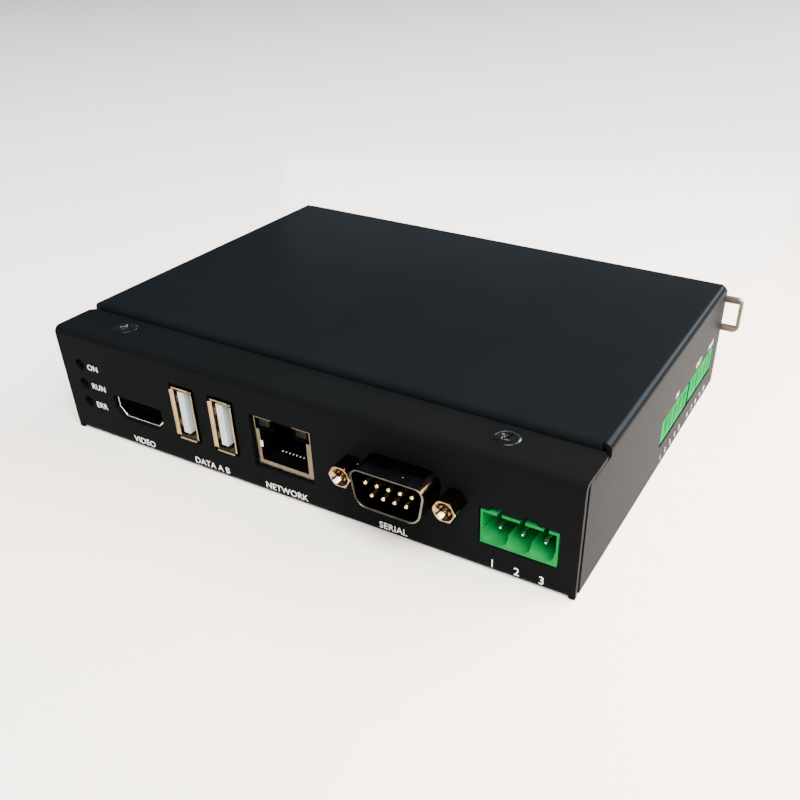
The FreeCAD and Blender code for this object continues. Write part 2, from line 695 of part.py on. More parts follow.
def video_port_tongue():
    """Moulded insert that fills the rear of the socket and carries its contact tongue."""
    mouth = FRONT + VIDEO_RECESS
    start = mouth + VIDEO_PLUG_DEPTH
    fill = video_outline(-SOCKET_SKIN - SCREW_FIT, start)
    insert = fill.extrude(Vector(0, VIDEO_DEPTH - VIDEO_PLUG_DEPTH, 0))
    middle = BOARD_TOP + VIDEO_LIFT + VIDEO_HEIGHT - VIDEO_SIDE + VIDEO_TONGUE / 2
    tongue = block(span(VIDEO_X, VIDEO_TONGUE_WIDTH), (mouth + SHEET, start),
                   span(middle, VIDEO_TONGUE))
    return insert.fuse(tongue).removeSplitter()


def data_middle():
    return BOARD_TOP + DATA_LIFT + DATA_HEIGHT / 2


def data_port_shell(x):
    """Folded shell on edge, with a flared lip along each side of its mouth."""
    middle = data_middle()
    mouth = (FRONT, FRONT + DATA_DEPTH)
    outer = block(span(x, DATA_WIDTH), mouth, span(middle, DATA_HEIGHT))
    inner = block(span(x, DATA_WIDTH - 2 * SOCKET_SKIN), mouth,
                  span(middle, DATA_HEIGHT - 2 * SOCKET_SKIN))
    shell = outer.cut(inner)
    for side in (-1, 1):
        edge = x + side * DATA_WIDTH / 2
        lip = [(edge, FRONT, 0), (edge + side * DATA_LIP, FRONT - DATA_LIP, 0),
               (edge + side * (DATA_LIP - SOCKET_SKIN), FRONT - DATA_LIP, 0),
               (edge - side * SOCKET_SKIN, FRONT, 0)]
        low = middle - DATA_HEIGHT / 2 + DATA_LIP
        length = DATA_HEIGHT - 2 * DATA_LIP
        shell = shell.fuse(rounded_face(lip, level(low)).extrude(Vector(0, 0, length)))
        edge = middle + side * DATA_HEIGHT / 2
        lip = [(FRONT, edge, 0), (FRONT - DATA_LIP, edge + side * DATA_LIP, 0),
               (FRONT - DATA_LIP, edge + side * (DATA_LIP - SOCKET_SKIN), 0),
               (FRONT, edge - side * SOCKET_SKIN, 0)]
        low = x - DATA_WIDTH / 2 + DATA_LIP
        length = DATA_WIDTH - 2 * DATA_LIP
        shell = shell.fuse(rounded_face(lip, across(low)).extrude(Vector(length, 0, 0)))
    return shell.removeSplitter()


def data_port_tongue(x):
    """Moulded insert: foot on the board, block at the rear and contact tongue."""
    middle = data_middle()
    inner_width = DATA_WIDTH - 2 * SOCKET_SKIN
    start = FRONT + DATA_PLUG_DEPTH
    end = FRONT + DATA_DEPTH
    fill = block(span(x, inner_width - 2 * SCREW_FIT), (start, end),
                 span(middle, DATA_HEIGHT - 2 * SOCKET_SKIN - 2 * SCREW_FIT))
    tongue_left = x - inner_width / 2 + DATA_TONGUE_GAP
    tongue = block((tongue_left, tongue_left + DATA_TONGUE), (FRONT + DATA_TONGUE_RECESS, start),
                   span(middle, DATA_TONGUE_HEIGHT))
    heel = block(span(x, DATA_WIDTH), (end, end + SOCKET_SKIN),
                 (BOARD_TOP, middle + DATA_HEIGHT / 2))
    foot = block(span(x, DATA_WIDTH), (BOARD_FRONT + SOCKET_SKIN, end), (BOARD_TOP, BOARD_TOP + DATA_LIFT))
    return fill.fuse([tongue, heel, foot]).removeSplitter()


def network_jack_shield():
    """Folded screen round the socket, open below, with a frame round the plug opening."""
    mouth = FRONT + JACK_RECESS
    back = mouth + JACK_DEPTH
    top = BOARD_TOP + JACK_HEIGHT
    outer = block(span(NETWORK_X, JACK_WIDTH), (mouth, back), (BOARD_TOP, top))
    inner = block(span(NETWORK_X, JACK_WIDTH - 2 * JACK_SKIN), (mouth + JACK_SKIN, back - JACK_SKIN),
                  (BOARD_TOP, top - JACK_SKIN))
    lamp_z = top - JACK_FRAME_TOP - JACK_LAMP_HEIGHT
    opening = block(span(NETWORK_X, JACK_WIDTH - 2 * JACK_FRAME), (mouth, mouth + JACK_SKIN),
                    (BOARD_TOP + JACK_FRAME_LOW, lamp_z))
    lamp_opening = block(span(NETWORK_X, JACK_WIDTH - 2 * JACK_FRAME_THIN), (mouth, mouth + JACK_SKIN),
                         (lamp_z, top - JACK_FRAME_TOP))
    notch = block(span(NETWORK_X, JACK_NOTCH), (mouth, mouth + 2 * JACK_SKIN),
                  (top - 2 * JACK_FRAME_TOP, top))
    return outer.cut([inner, opening, lamp_opening, notch])


def network_lamp_limits(side):
    """Limits along X, Y and Z of one lamp in an upper corner of the network socket."""
    outer_edge = JACK_WIDTH / 2 - JACK_FRAME
    x = sorted((NETWORK_X + side * outer_edge, NETWORK_X + side * (outer_edge - JACK_LAMP_WIDTH)))
    mouth = FRONT + JACK_RECESS + JACK_SKIN
    top = BOARD_TOP + JACK_HEIGHT - JACK_FRAME_TOP
    return x, (mouth, mouth + JACK_LAMP_DEPTH), (top - JACK_LAMP_HEIGHT, top)


def network_jack_body():
    """Moulded body with the stepped plug cavity and a pocket for each lamp."""
    mouth = FRONT + JACK_RECESS + JACK_SKIN + SCREW_FIT
    back = FRONT + JACK_RECESS + JACK_DEPTH - JACK_SKIN - SCREW_FIT
    top = BOARD_TOP + JACK_HEIGHT - JACK_SKIN - SCREW_FIT
    body = block(span(NETWORK_X, JACK_WIDTH - 2 * JACK_SKIN - 2 * SCREW_FIT), (mouth, back),
                 (BOARD_TOP, top))
    floor = BOARD_TOP + JACK_FLOOR
    ceiling = floor + JACK_PLUG_HEIGHT
    cavity_end = mouth + JACK_PLUG_DEPTH
    cuts = [block(span(NETWORK_X, JACK_PLUG_WIDTH), (mouth, cavity_end), (floor, ceiling)),
            block(span(NETWORK_X, JACK_NOTCH), (mouth, cavity_end - JACK_FLOOR),
                  (ceiling, top - JACK_FRAME_TOP))]
    for side in (-1, 1):
        x, y, z = network_lamp_limits(side)
        cuts.append(block((x[0] - SCREW_FIT, x[1] + SCREW_FIT), (y[0], y[1] + SCREW_FIT),
                          (z[0] - SCREW_FIT, z[1] + SCREW_FIT)))
    return body.cut(cuts)


def network_lamp(side):
    x, y, z = network_lamp_limits(side)
    return block(x, y, z)


def network_jack_contacts():
    """Row of sprung contact strips that rise from the cavity floor towards the rear."""
    floor = BOARD_TOP + JACK_FLOOR
    near = FRONT + JACK_RECESS + JACK_FLOOR + JACK_FRAME
    knee = near + JACK_FRAME
    far = FRONT + JACK_RECESS + JACK_PLUG_DEPTH - JACK_FRAME
    t = CONTACT_THICKNESS
    strip = [(near, floor, 0), (knee, floor, 0), (far, floor + CONTACT_RISE, 0),
             (far, floor + CONTACT_RISE + t, 0), (knee, floor + t, 0), (near, floor + t, 0)]
    contacts = []
    for k in range(CONTACT_COUNT):
        x = NETWORK_X + (k - (CONTACT_COUNT - 1) / 2) * CONTACT_PITCH
        face = rounded_face(strip, across(x - CONTACT_WIDTH / 2))
        contacts.append(face.extrude(Vector(CONTACT_WIDTH, 0, 0)))
    return group(contacts)


def serial_outline(grow, y):
    """D-shaped outline, wide side up."""
    top = SERIAL_Z + SERIAL_HEIGHT / 2
    bottom = SERIAL_Z - SERIAL_HEIGHT / 2
    half_top = SERIAL_WIDTH / 2
    half_bottom = half_top - SERIAL_HEIGHT * math.tan(SERIAL_SLANT)
    r = SERIAL_CORNER
    corners = [(SERIAL_X - half_top, top, r), (SERIAL_X - half_bottom, bottom, r),
               (SERIAL_X + half_bottom, bottom, r), (SERIAL_X + half_top, top, r)]
    face = rounded_face(corners, upright(y))
    if grow == 0:
        return face
    return Part.Face(face.OuterWire.makeOffset2D(grow))


def jack_nut_places():
    return [SERIAL_X - JACK_NUT_PITCH / 2, SERIAL_X + JACK_NUT_PITCH / 2]


def serial_shell():
    """Drawn shell with a flange behind the panel."""
    flange_y = (FRONT + SHEET, FRONT + SHEET + SERIAL_FLANGE)
    mouth = FRONT - SERIAL_REACH
    depth = Vector(0, flange_y[1] - mouth, 0)
    flange = block(span(SERIAL_X, SERIAL_FLANGE_WIDTH), flange_y, span(SERIAL_Z, SERIAL_FLANGE_HEIGHT))
    shell = flange.fuse(serial_outline(0, mouth).extrude(depth))
    shell = shell.cut(serial_outline(-SERIAL_SKIN, mouth).extrude(depth))
    holes = []
    for x in jack_nut_places():
        start = Vector(x, flange_y[0], SERIAL_Z)
        holes.append(rod(JACK_NUT_STUD_R + HOLE_GAP, SERIAL_FLANGE, start, Vector(0, 1, 0)))
    return shell.cut(holes)


def serial_pin_places():
    """Pin centres: the long row above, the short row below and between."""
    rows = ((SERIAL_TOP_PINS, SERIAL_Z + SERIAL_ROW_PITCH / 2),
            (SERIAL_TOP_PINS - 1, SERIAL_Z - SERIAL_ROW_PITCH / 2))
    return [(SERIAL_X + (k - (count - 1) / 2) * SERIAL_PIN_PITCH, z)
            for count, z in rows for k in range(count)]


def serial_insulator():
    """Moulded insert in the shell and the block that stands on the board behind it."""
    face = FRONT + SHEET - SERIAL_FLANGE
    back = FRONT + SHEET + SERIAL_FLANGE
    end = back + SERIAL_BODY_DEPTH
    insert = serial_outline(-SERIAL_SKIN - SCREW_FIT, face).extrude(Vector(0, back - face, 0))
    body = block(span(SERIAL_X, SERIAL_WIDTH), (back, end), (BOARD_TOP, SERIAL_Z + SERIAL_HEIGHT / 2))
    pins = [rod(SERIAL_PIN_R + PIN_FIT, end - face, Vector(x, face, z), Vector(0, 1, 0), PIN_SIDES)
            for x, z in serial_pin_places()]
    return insert.fuse(body).removeSplitter().cut(pins)


def serial_pins():
    tip = FRONT - SERIAL_REACH + SERIAL_PIN_RECESS
    end = FRONT + SHEET + SERIAL_FLANGE + SERIAL_BODY_DEPTH
    pins = []
    for x, z in serial_pin_places():
        shoulder = tip + SERIAL_PIN_TIP
        point = taper(PIN_SIDES, (SERIAL_PIN_R / 2, SERIAL_PIN_R), SERIAL_PIN_TIP,
                      Vector(x, tip, z), Vector(0, 1, 0))
        shaft = rod(SERIAL_PIN_R, end - shoulder, Vector(x, shoulder, z), Vector(0, 1, 0), PIN_SIDES)
        pins.append(point.fuse(shaft))
    return group(pins)


def serial_jack_nuts():
    """Hexagonal nuts that clamp the connector to the panel and take the plug's screws."""
    radius = JACK_NUT_FLATS / 2 / math.cos(math.pi / 6)
    nuts = []
    for x in jack_nut_places():
        seat = Vector(x, FRONT, SERIAL_Z)
        mouth = seat + Vector(0, -JACK_NUT_LENGTH, 0)
        body = rod(radius, JACK_NUT_LENGTH, mouth, Vector(0, 1, 0), 6)
        crown = taper(6, (radius, radius + JACK_NUT_LENGTH), JACK_NUT_LENGTH, mouth, Vector(0, 1, 0),
                      math.pi / 6)
        body = body.common(crown)
        stud = rod(JACK_NUT_STUD_R, JACK_NUT_STUD, seat, Vector(0, 1, 0))
        hole = Part.makeCylinder(JACK_NUT_HOLE_R, JACK_NUT_HOLE_DEPTH, mouth, Vector(0, 1, 0))
        nuts.append(body.fuse(stud).cut(hole))
    return group(nuts)


def rib_places():
    """Ribs on top of the supply header, spaced unevenly so that only its own plug goes in."""
    return [pole_places(POWER_POLES, POWER_PITCH)[0], POWER_PITCH / 2]


def pole_places(poles, pitch):
    return [(k - (poles - 1) / 2) * pitch for k in range(poles)]


def header_well(pitch, ridge):
    """Radius of one pole's well, and the height of its middle above the board."""
    radius = (pitch - ridge) / 2
    return radius, HEADER_WALL + radius


def terminal_header(poles, pitch, ridge, end, height, depth, pin):
    """Moulded header, mouth at y = 0 facing -Y, standing on z = 0, with a well for each pole."""
    length = poles * pitch + 2 * end
    radius, middle = header_well(pitch, ridge)
    body = block(span(0, length), (0, depth), (0, height))
    ceiling = height - HEADER_WALL
    well = (0, depth - HEADER_BACK)
    pin_hole = pin + 2 * PIN_FIT
    cuts = []
    for x in pole_places(poles, pitch):
        cuts.append(rod(radius, well[1], Vector(x, 0, middle), Vector(0, 1, 0), DISC_SIDES))
        cuts.append(block(span(x, 2 * radius), well, (middle, ceiling)))
        cuts.append(block(span(x, HEADER_KEY), well, (middle, ceiling + HEADER_KEY_DEPTH)))
        cuts.append(block(span(x, pin_hole), (0, depth), span(middle + HEADER_PIN_LIFT, pin_hole)))
    return body.cut(cuts).removeSplitter()


def terminal_pins(poles, pitch, ridge, depth, pin):
    """Square pins that leave the back of a header and turn down to the board."""
    height = header_well(pitch, ridge)[1] + HEADER_PIN_LIFT
    pins = []
    for x in pole_places(poles, pitch):
        run = block(span(x, pin), (HEADER_PIN_RECESS, depth + 2 * pin), span(height, pin))
        tip = [e for e in run.Edges if e.BoundBox.YMax < HEADER_PIN_RECESS + TINY]
        run = run.makeChamfer(pin / 4, tip)
        leg = block(span(x, pin), (depth + pin, depth + 2 * pin), (0, height))
        pins.append(run.fuse(leg).removeSplitter())
    return group(pins)


def at_front(shape):
    """Header placed in the front panel."""
    shape.Placement = FreeCAD.Placement(Vector(POWER_X, FRONT, BOARD_TOP), FreeCAD.Rotation())
    return shape


def at_side(shape, y):
    """Header turned to face the side with the signal terminals."""
    turn = FreeCAD.Rotation(Vector(0, 0, 1), 90)
    shape.Placement = FreeCAD.Placement(Vector(RIGHT, y, BOARD_TOP), turn)
    return shape


def power_header():
    """Supply header: its wells open into one cavity, and ribs stand on top."""
    header = terminal_header(POWER_POLES, POWER_PITCH, POWER_RIDGE, POWER_END, POWER_HEIGHT,
                             POWER_DEPTH, POWER_PIN)
    well = (0, POWER_DEPTH - HEADER_BACK)
    cavity = block(span(0, POWER_LENGTH - 2 * POWER_END_WALL), well,
                   (header_well(POWER_PITCH, POWER_RIDGE)[1], POWER_HEIGHT - HEADER_WALL))
    ribs = [block(span(x, POWER_RIB_WIDTH), well, (POWER_HEIGHT, POWER_HEIGHT + POWER_RIB))
            for x in rib_places()]
    return at_front(header.cut(cavity).fuse(ribs).removeSplitter())


def power_pins():
    return at_front(terminal_pins(POWER_POLES, POWER_PITCH, POWER_RIDGE, POWER_DEPTH, POWER_PIN))


def io_header(y):
    """Signal header: each pole has its own well."""
    return at_side(terminal_header(IO_POLES, IO_PITCH, IO_RIDGE, IO_END, IO_HEIGHT, IO_DEPTH, IO_PIN), y)


def io_pins(y):
    return at_side(terminal_pins(IO_POLES, IO_PITCH, IO_RIDGE, IO_DEPTH, IO_PIN), y)


def processor():
    return block(span(0, PROCESSOR_SIZE), span(0, PROCESSOR_SIZE),
                 (BOARD_TOP, BOARD_TOP + PROCESSOR_HEIGHT))


def heat_sink():
    """Extruded sink with parallel fins, resting on the processor."""
    base = BOARD_TOP + PROCESSOR_HEIGHT
    sink = block(span(0, SINK_SIZE), span(0, SINK_SIZE), (base, base + SINK_HEIGHT))
    pitch = (SINK_SIZE - SINK_FIN) / (SINK_FINS - 1)
    for k in range(SINK_FINS - 1):
        left = -SINK_SIZE / 2 + k * pitch + SINK_FIN
        sink = sink.cut(block((left, left + pitch - SINK_FIN), span(0, SINK_SIZE),
                              (base + SINK_BASE, base + SINK_HEIGHT)))
    return sink


def memory_chips():
    places = [-MEMORY_PITCH / 2, MEMORY_PITCH / 2]
    return group([block(span(-MEMORY_OFFSET, MEMORY_LENGTH), span(y, MEMORY_WIDTH),
                        (BOARD_TOP, BOARD_TOP + MEMORY_HEIGHT)) for y in places])


def battery_holder():
    """Round cup that holds the clock's coin cell."""
    radius = CELL_R + CELL_FIT + CELL_WALL
    foot = Vector(CELL_X, 0, BOARD_TOP)
    up = Vector(0, 0, 1)
    cup = rod(radius, CELL_FLOOR + CELL_HEIGHT, foot, up, DISC_SIDES)
    hollow = rod(CELL_R + CELL_FIT, CELL_HEIGHT, foot + up * CELL_FLOOR, up, DISC_SIDES)
    slot = block(span(CELL_X, CELL_R), (-radius, 0),
                 (BOARD_TOP + CELL_FLOOR, BOARD_TOP + CELL_FLOOR + CELL_HEIGHT))
    return cup.cut([hollow, slot])


def coin_cell():
    foot = Vector(CELL_X, 0, BOARD_TOP + CELL_FLOOR)
    return rod(CELL_R, CELL_HEIGHT, foot, Vector(0, 0, 1), DISC_SIDES)


def network_transformer():
    start = FRONT + JACK_RECESS + JACK_DEPTH + PART_SPACE
    return block(span(NETWORK_X, TRANSFORMER_WIDTH), (start, start + TRANSFORMER_DEPTH),
                 (BOARD_TOP, BOARD_TOP + TRANSFORMER_HEIGHT))


def supply_inductor():
    """Moulded choke with drawn-in upper corners."""
    coil = block(span(COIL_OFFSET, COIL_SIZE), span(0, COIL_SIZE), (BOARD_TOP, BOARD_TOP + COIL_HEIGHT))
    posts = [e for e in coil.Edges if e.BoundBox.ZLength > COIL_HEIGHT / 2]
    return coil.makeChamfer(COIL_SIZE / 6, posts)


def supply_capacitors():
    """Round cans in a row behind the supply header, each with a rolled groove near its foot."""
    cans = []
    up = Vector(0, 0, 1)
    first = FRONT + POWER_DEPTH + 2 * POWER_PIN + PART_SPACE + CAN_R
    for k in range(2):
        foot = Vector(POWER_X, first + k * CAN_PITCH, BOARD_TOP)
        can = rod(CAN_R, CAN_HEIGHT, foot, up)
        band = foot + up * CAN_GROOVE_LIFT
        groove = rod(CAN_R, CAN_GROOVE_WIDTH, band, up)
        groove = groove.cut(rod(CAN_R - CAN_GROOVE, CAN_GROOVE_WIDTH, band, up))
        cans.append(can.cut(groove))
    return group(cans)


def input_isolators():
    """Row of isolating chips behind the signal headers."""
    right = RIGHT - IO_DEPTH - 2 * IO_PIN - PART_SPACE
    first = IO_FRONT_Y - ISOLATOR_PITCH / 2
    places = [first + k * ISOLATOR_PITCH for k in range(ISOLATOR_COUNT)]
    return group([block((right - ISOLATOR_LENGTH, right), span(y, ISOLATOR_WIDTH),
                        (BOARD_TOP, BOARD_TOP + ISOLATOR_HEIGHT)) for y in places])


def clip_screw_places():
    return [-CLIP_SCREW_X, CLIP_SCREW_X]


def rail_clip():
    """Folded channel with two fixed hooks on the left and a slotted guide on the right."""
    tower = LATCH_HIGH + LATCH_FIT + CLIP_TOWER_CAP
    seat = REAR + RAIL_SEAT
    hook_under = seat + RAIL_THICKNESS + RAIL_FIT
    hook_edge = -RAIL_WIDTH / 2 - RAIL_FIT
    hook_top = hook_under + CLIP_HOOK_THICKNESS
    r = CLIP_SHEET
    channel_path = [(tower, RAIL_Z - CLIP_OUTSIDE), (REAR, RAIL_Z - CLIP_OUTSIDE),
                    (REAR, RAIL_Z + CLIP_OUTSIDE), (tower, RAIL_Z + CLIP_OUTSIDE)]
    corners = folded_corners(channel_path[::-1], CLIP_SHEET, BEND)
    channel = rounded_face(corners, across(-CLIP_LEFT)).extrude(Vector(CLIP_LEFT + CLIP_RIGHT, 0, 0))
    side = [(-CLIP_LEFT, REAR, 0), (CLIP_RIGHT, REAR, 0), (CLIP_RIGHT, tower, r), (TOWER_X, tower, r),
            (TOWER_X, seat, 0), (hook_edge, seat, 0), (hook_edge, hook_under, 0),
            (hook_edge + CLIP_HOOK_REACH, hook_under, 0),
            (hook_edge + CLIP_HOOK_REACH, hook_top, r), (-CLIP_LEFT, hook_top, r)]
    face = rounded_face(side, level(RAIL_Z - CLIP_OUTSIDE))
    clip = channel.common(face.extrude(Vector(0, 0, 2 * CLIP_OUTSIDE)))
    cuts = [block((EAR_X - LATCH_FIT, CLIP_RIGHT), (LATCH_LOW - LATCH_FIT, LATCH_HIGH + LATCH_FIT),
                  span(RAIL_Z, 2 * CLIP_OUTSIDE))]
    for x in clip_screw_places():
        cuts.append(rod(SCREW_R + HOLE_GAP, CLIP_SHEET, Vector(x, REAR, RAIL_Z), Vector(0, 1, 0)))
    tab_x = (CLIP_TAB_X, CLIP_TAB_X + CLIP_SHEET)
    cuts.append(block((tab_x[1], tab_x[1] + CLIP_TAB_WIDTH), (REAR, REAR + CLIP_SHEET),
                      span(RAIL_Z, CLIP_TAB_WIDTH)))
    tab = block(tab_x, (REAR, REAR + RAIL_SEAT), span(RAIL_Z, CLIP_TAB_WIDTH))
    return clip.cut(cuts).fuse(tab).removeSplitter()


def rail_clip_screws():
    length = CLIP_SHEET + SHEET + NUT_HEIGHT
    seats = [Vector(x, REAR + CLIP_SHEET, RAIL_Z) for x in clip_screw_places()]
    inward = Vector(0, -1, 0)
    screws = []
    for seat in seats:
        recess = cross_recess(seat - inward * PAN_HEAD_HEIGHT, inward)
        screws.append(pan_screw(seat, inward, length).cut(recess))
    return group(screws)


def rail_clip_nuts():
    seats = [Vector(x, REAR - SHEET, RAIL_Z) for x in clip_screw_places()]
    return group([nut(seat, Vector(0, -1, 0), SCREW_R + SCREW_FIT) for seat in seats])


def rail_latch():
    """Sliding strap: nose over the rail, two guide ears, spring tab and screwdriver loop."""
    nose = RAIL_WIDTH / 2 - LATCH_GRIP
    end = RIGHT + LOOP_PROUD
    low = RAIL_Z - LATCH_WIDTH / 2
    high = RAIL_Z + LATCH_WIDTH / 2
    ear = CLIP_OUTSIDE + LATCH_EAR_REACH
    ear_end = EAR_X + LATCH_EAR
    r = LATCH_CORNER
    corners = [(nose, low, r / 2), (EAR_X, low, 0), (EAR_X, RAIL_Z - ear, 0), (ear_end, RAIL_Z - ear, 0),
               (ear_end, low, 0), (end, low, r), (end, high, r), (ear_end, high, 0),
               (ear_end, RAIL_Z + ear, 0), (EAR_X, RAIL_Z + ear, 0), (EAR_X, high, 0), (nose, high, r / 2)]
    strap = rounded_face(corners, upright(LATCH_LOW)).extrude(Vector(0, LATCH_SHEET, 0))
    tab_x = (ear_end + LATCH_TAB_SPACE, ear_end + LATCH_TAB_SPACE + LATCH_SHEET)
    tab = block(tab_x, (REAR + 2 * CLIP_SHEET, LATCH_HIGH), span(RAIL_Z, CLIP_TAB_WIDTH))
    lance = block((tab_x[0] - LATCH_TAB_SPACE, tab_x[0]), (LATCH_LOW, LATCH_HIGH),
                  span(RAIL_Z, CLIP_TAB_WIDTH))
    hole_end = end - LOOP_END
    loop = block((hole_end - LOOP_HOLE, hole_end), (LATCH_LOW, LATCH_HIGH),
                 (low + LOOP_LIMB, high - LOOP_LIMB))
    ramp = [(nose, LATCH_LOW + LATCH_SHEET / 3, 0), (nose + LATCH_GRIP, LATCH_HIGH, 0),
            (nose, LATCH_HIGH, 0)]
    slope = rounded_face(ramp, level(low)).extrude(Vector(0, 0, LATCH_WIDTH))
    return strap.fuse(tab).cut([lance, loop, slope]).removeSplitter()


def latch_spring():
    """Compression spring between the latch's tab and the channel's tab."""
    pitch = (SPRING_LENGTH - 2 * SPRING_WIRE_R) / SPRING_TURNS
    mean = SPRING_R - SPRING_WIRE_R
    points = []
    for k in range(SPRING_TURNS * SPRING_STEPS + 1):
        angle = k * 2 * math.pi / SPRING_STEPS
        points.append(Vector(mean * math.cos(angle), mean * math.sin(angle), pitch * k / SPRING_STEPS))
    run = points[1] - points[0]
    section = set_along(regular_wire(SPRING_SIDES, SPRING_WIRE_R), points[0], run)
    coil = Part.makePolygon(points).makePipeShell([section], True, False, 1)
    return set_along(coil, Vector(SPRING_X + SPRING_WIRE_R, SPRING_Y, RAIL_Z), Vector(1, 0, 0))


def build():
    parts = {
        "chassis": chassis(), "cover": cover(),
        "cover_front_screws": cover_front_screws(), "cover_rear_screws": cover_rear_screws(),
        "cover_front_nuts": cover_front_nuts(), "cover_rear_nuts": cover_rear_nuts(),
        "main_board": main_board(), "board_standoffs": board_standoffs(), "board_screws": board_screws(),
        "status_leds": status_leds(),
        "video_port_shell": video_port_shell(), "video_port_tongue": video_port_tongue(),
        "network_jack_shield": network_jack_shield(), "network_jack_body": network_jack_body(),
        "network_jack_contacts": network_jack_contacts(),
        "network_link_lamp": network_lamp(-1), "network_traffic_lamp": network_lamp(1),
        "serial_shell": serial_shell(), "serial_insulator": serial_insulator(),
        "serial_pins": serial_pins(), "serial_jack_nuts": serial_jack_nuts(),
        "power_header": power_header(), "power_pins": power_pins(),
        "processor": processor(), "heat_sink": heat_sink(), "memory_chips": memory_chips(),
        "battery_holder": battery_holder(), "coin_cell": coin_cell(),
        "network_transformer": network_transformer(), "supply_inductor": supply_inductor(),
        "supply_capacitors": supply_capacitors(), "input_isolators": input_isolators(),
        "rail_clip": rail_clip(), "rail_clip_screws": rail_clip_screws(),
        "rail_clip_nuts": rail_clip_nuts(), "rail_latch": rail_latch(), "latch_spring": latch_spring(),
    }
    for index in range(LAMP_COUNT):
        parts[f"status_light_pipe_{index + 1}"] = light_pipe(index)
    for name, x in (("a", DATA_X), ("b", DATA_X + DATA_PITCH)):
        parts[f"data_port_{name}_shell"] = data_port_shell(x)
        parts[f"data_port_{name}_tongue"] = data_port_tongue(x)
    for name, y in (("front", IO_FRONT_Y), ("rear", IO_REAR_Y)):
        parts[f"io_header_{name}"] = io_header(y)
        parts[f"io_pins_{name}"] = io_pins(y)
    return parts


os.makedirs("parts", exist_ok=True)
for node, shape in build().items():
    print(node, len(shape.Solids), shape.isValid(), round(shape.Volume, 2))
    shape.exportStep(os.path.join("parts", node + ".step"))
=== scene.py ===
# %% [markdown]
# A control box for a mounting rail, dressed for its picture.
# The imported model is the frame: every solid of the box, at its real size and in metres. Blender adds what
# solids leave out, which is finishes, printing, rounded pins, threads and springs. No solid is moved.

# %% Load the frame
import math

import bmesh
import bpy
from mathutils import Matrix, Vector


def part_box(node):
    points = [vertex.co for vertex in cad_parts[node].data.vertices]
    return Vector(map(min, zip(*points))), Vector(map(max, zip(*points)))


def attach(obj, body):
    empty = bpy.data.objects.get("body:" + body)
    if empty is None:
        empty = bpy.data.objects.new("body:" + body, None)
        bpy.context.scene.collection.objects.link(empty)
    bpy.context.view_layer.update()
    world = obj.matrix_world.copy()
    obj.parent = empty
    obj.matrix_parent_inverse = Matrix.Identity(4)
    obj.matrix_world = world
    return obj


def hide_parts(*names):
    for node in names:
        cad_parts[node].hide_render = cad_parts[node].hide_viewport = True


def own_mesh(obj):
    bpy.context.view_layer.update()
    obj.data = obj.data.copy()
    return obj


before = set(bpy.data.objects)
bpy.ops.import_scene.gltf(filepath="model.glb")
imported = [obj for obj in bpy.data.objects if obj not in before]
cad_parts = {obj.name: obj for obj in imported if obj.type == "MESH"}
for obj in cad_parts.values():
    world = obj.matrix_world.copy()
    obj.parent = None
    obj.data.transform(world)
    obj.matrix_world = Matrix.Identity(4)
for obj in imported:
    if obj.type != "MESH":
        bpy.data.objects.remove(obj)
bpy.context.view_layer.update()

MM = 0.001
SLIVER = MM / 100
OVERLAP = MM / 10
FACING = 0.9
SMOOTH_ANGLE = math.radians(40)
SHARP_ANGLE = math.radians(30)


def turned(degrees, axis):
    """Turn about an axis."""
    return Matrix.Rotation(math.radians(degrees), 4, axis)


FACE_FRONT = turned(90, "X")
FACE_REAR = turned(-90, "X")
FACE_RIGHT = turned(90, "Z") @ FACE_FRONT

# %% [markdown]
# Modelling by operators works on whatever is selected, so each helper here first leaves one piece selected.
# Faces and edges are chosen by their place or their direction, never by their number, because numbers change
# when a piece is made a little finer.

# %% Helpers for selecting and shaping


def select_only(*pieces):
    """Leaves these pieces selected, with the first of them active."""
    bpy.ops.object.select_all(action="DESELECT")
    for piece in pieces:
        piece.select_set(True)
    bpy.context.view_layer.objects.active = pieces[0]


def name_new(name):
    """Names the piece that the last operator added."""
    piece = bpy.context.object
    piece.name = name
    piece.data.name = name
    return piece


def apply_place(piece):
    """Moves a piece's place, turn and size into its mesh."""
    select_only(piece)
    bpy.ops.object.transform_apply(location=True, rotation=True, scale=True)
    return piece


def stand_at(piece, place, turn=Matrix()):
    """Turns a piece that was modelled at the origin and sets it in its place."""
    piece.matrix_world = Matrix.Translation(place) @ turn
    return apply_place(piece)


def add_block(name, low, high):
    """Block between two corners."""
    low, high = Vector(low), Vector(high)
    bpy.ops.mesh.primitive_cube_add(size=1, location=(low + high) / 2, scale=high - low)
    return apply_place(name_new(name))


def add_rod(name, radius, length, sides=48):
    """Rod along Z with its foot at the origin."""
    bpy.ops.mesh.primitive_cylinder_add(vertices=sides, radius=radius, depth=length,
                                        location=(0, 0, length / 2))
    return apply_place(name_new(name))


def add_cone(name, foot_radius, top_radius, length, sides=48):
    """Cone along Z with its foot at the origin."""
    bpy.ops.mesh.primitive_cone_add(vertices=sides, radius1=foot_radius, radius2=top_radius, depth=length,
                                    location=(0, 0, length / 2))
    return apply_place(name_new(name))


def open_piece(piece, kind):
    """Opens a piece for editing with nothing selected, and returns its editable mesh."""
    select_only(piece)
    bpy.ops.object.mode_set(mode="EDIT")
    bpy.ops.mesh.select_mode(type=kind)
    bpy.ops.mesh.select_all(action="DESELECT")
    return bmesh.from_edit_mesh(piece.data)


def pick_faces(piece, test):
    """Opens a piece with the faces that pass the test selected."""
    mesh = open_piece(piece, "FACE")
    for face in mesh.faces:
        face.select_set(test(face))
    bmesh.update_edit_mesh(piece.data)


def pick_edges(piece, test):
    """Opens a piece with the edges whose two ends pass the test selected."""
    mesh = open_piece(piece, "EDGE")
    for edge in mesh.edges:
        edge.select_set(test(edge.verts[0].co, edge.verts[1].co))
    bmesh.update_edit_mesh(piece.data)


def any_face(face):
    return True


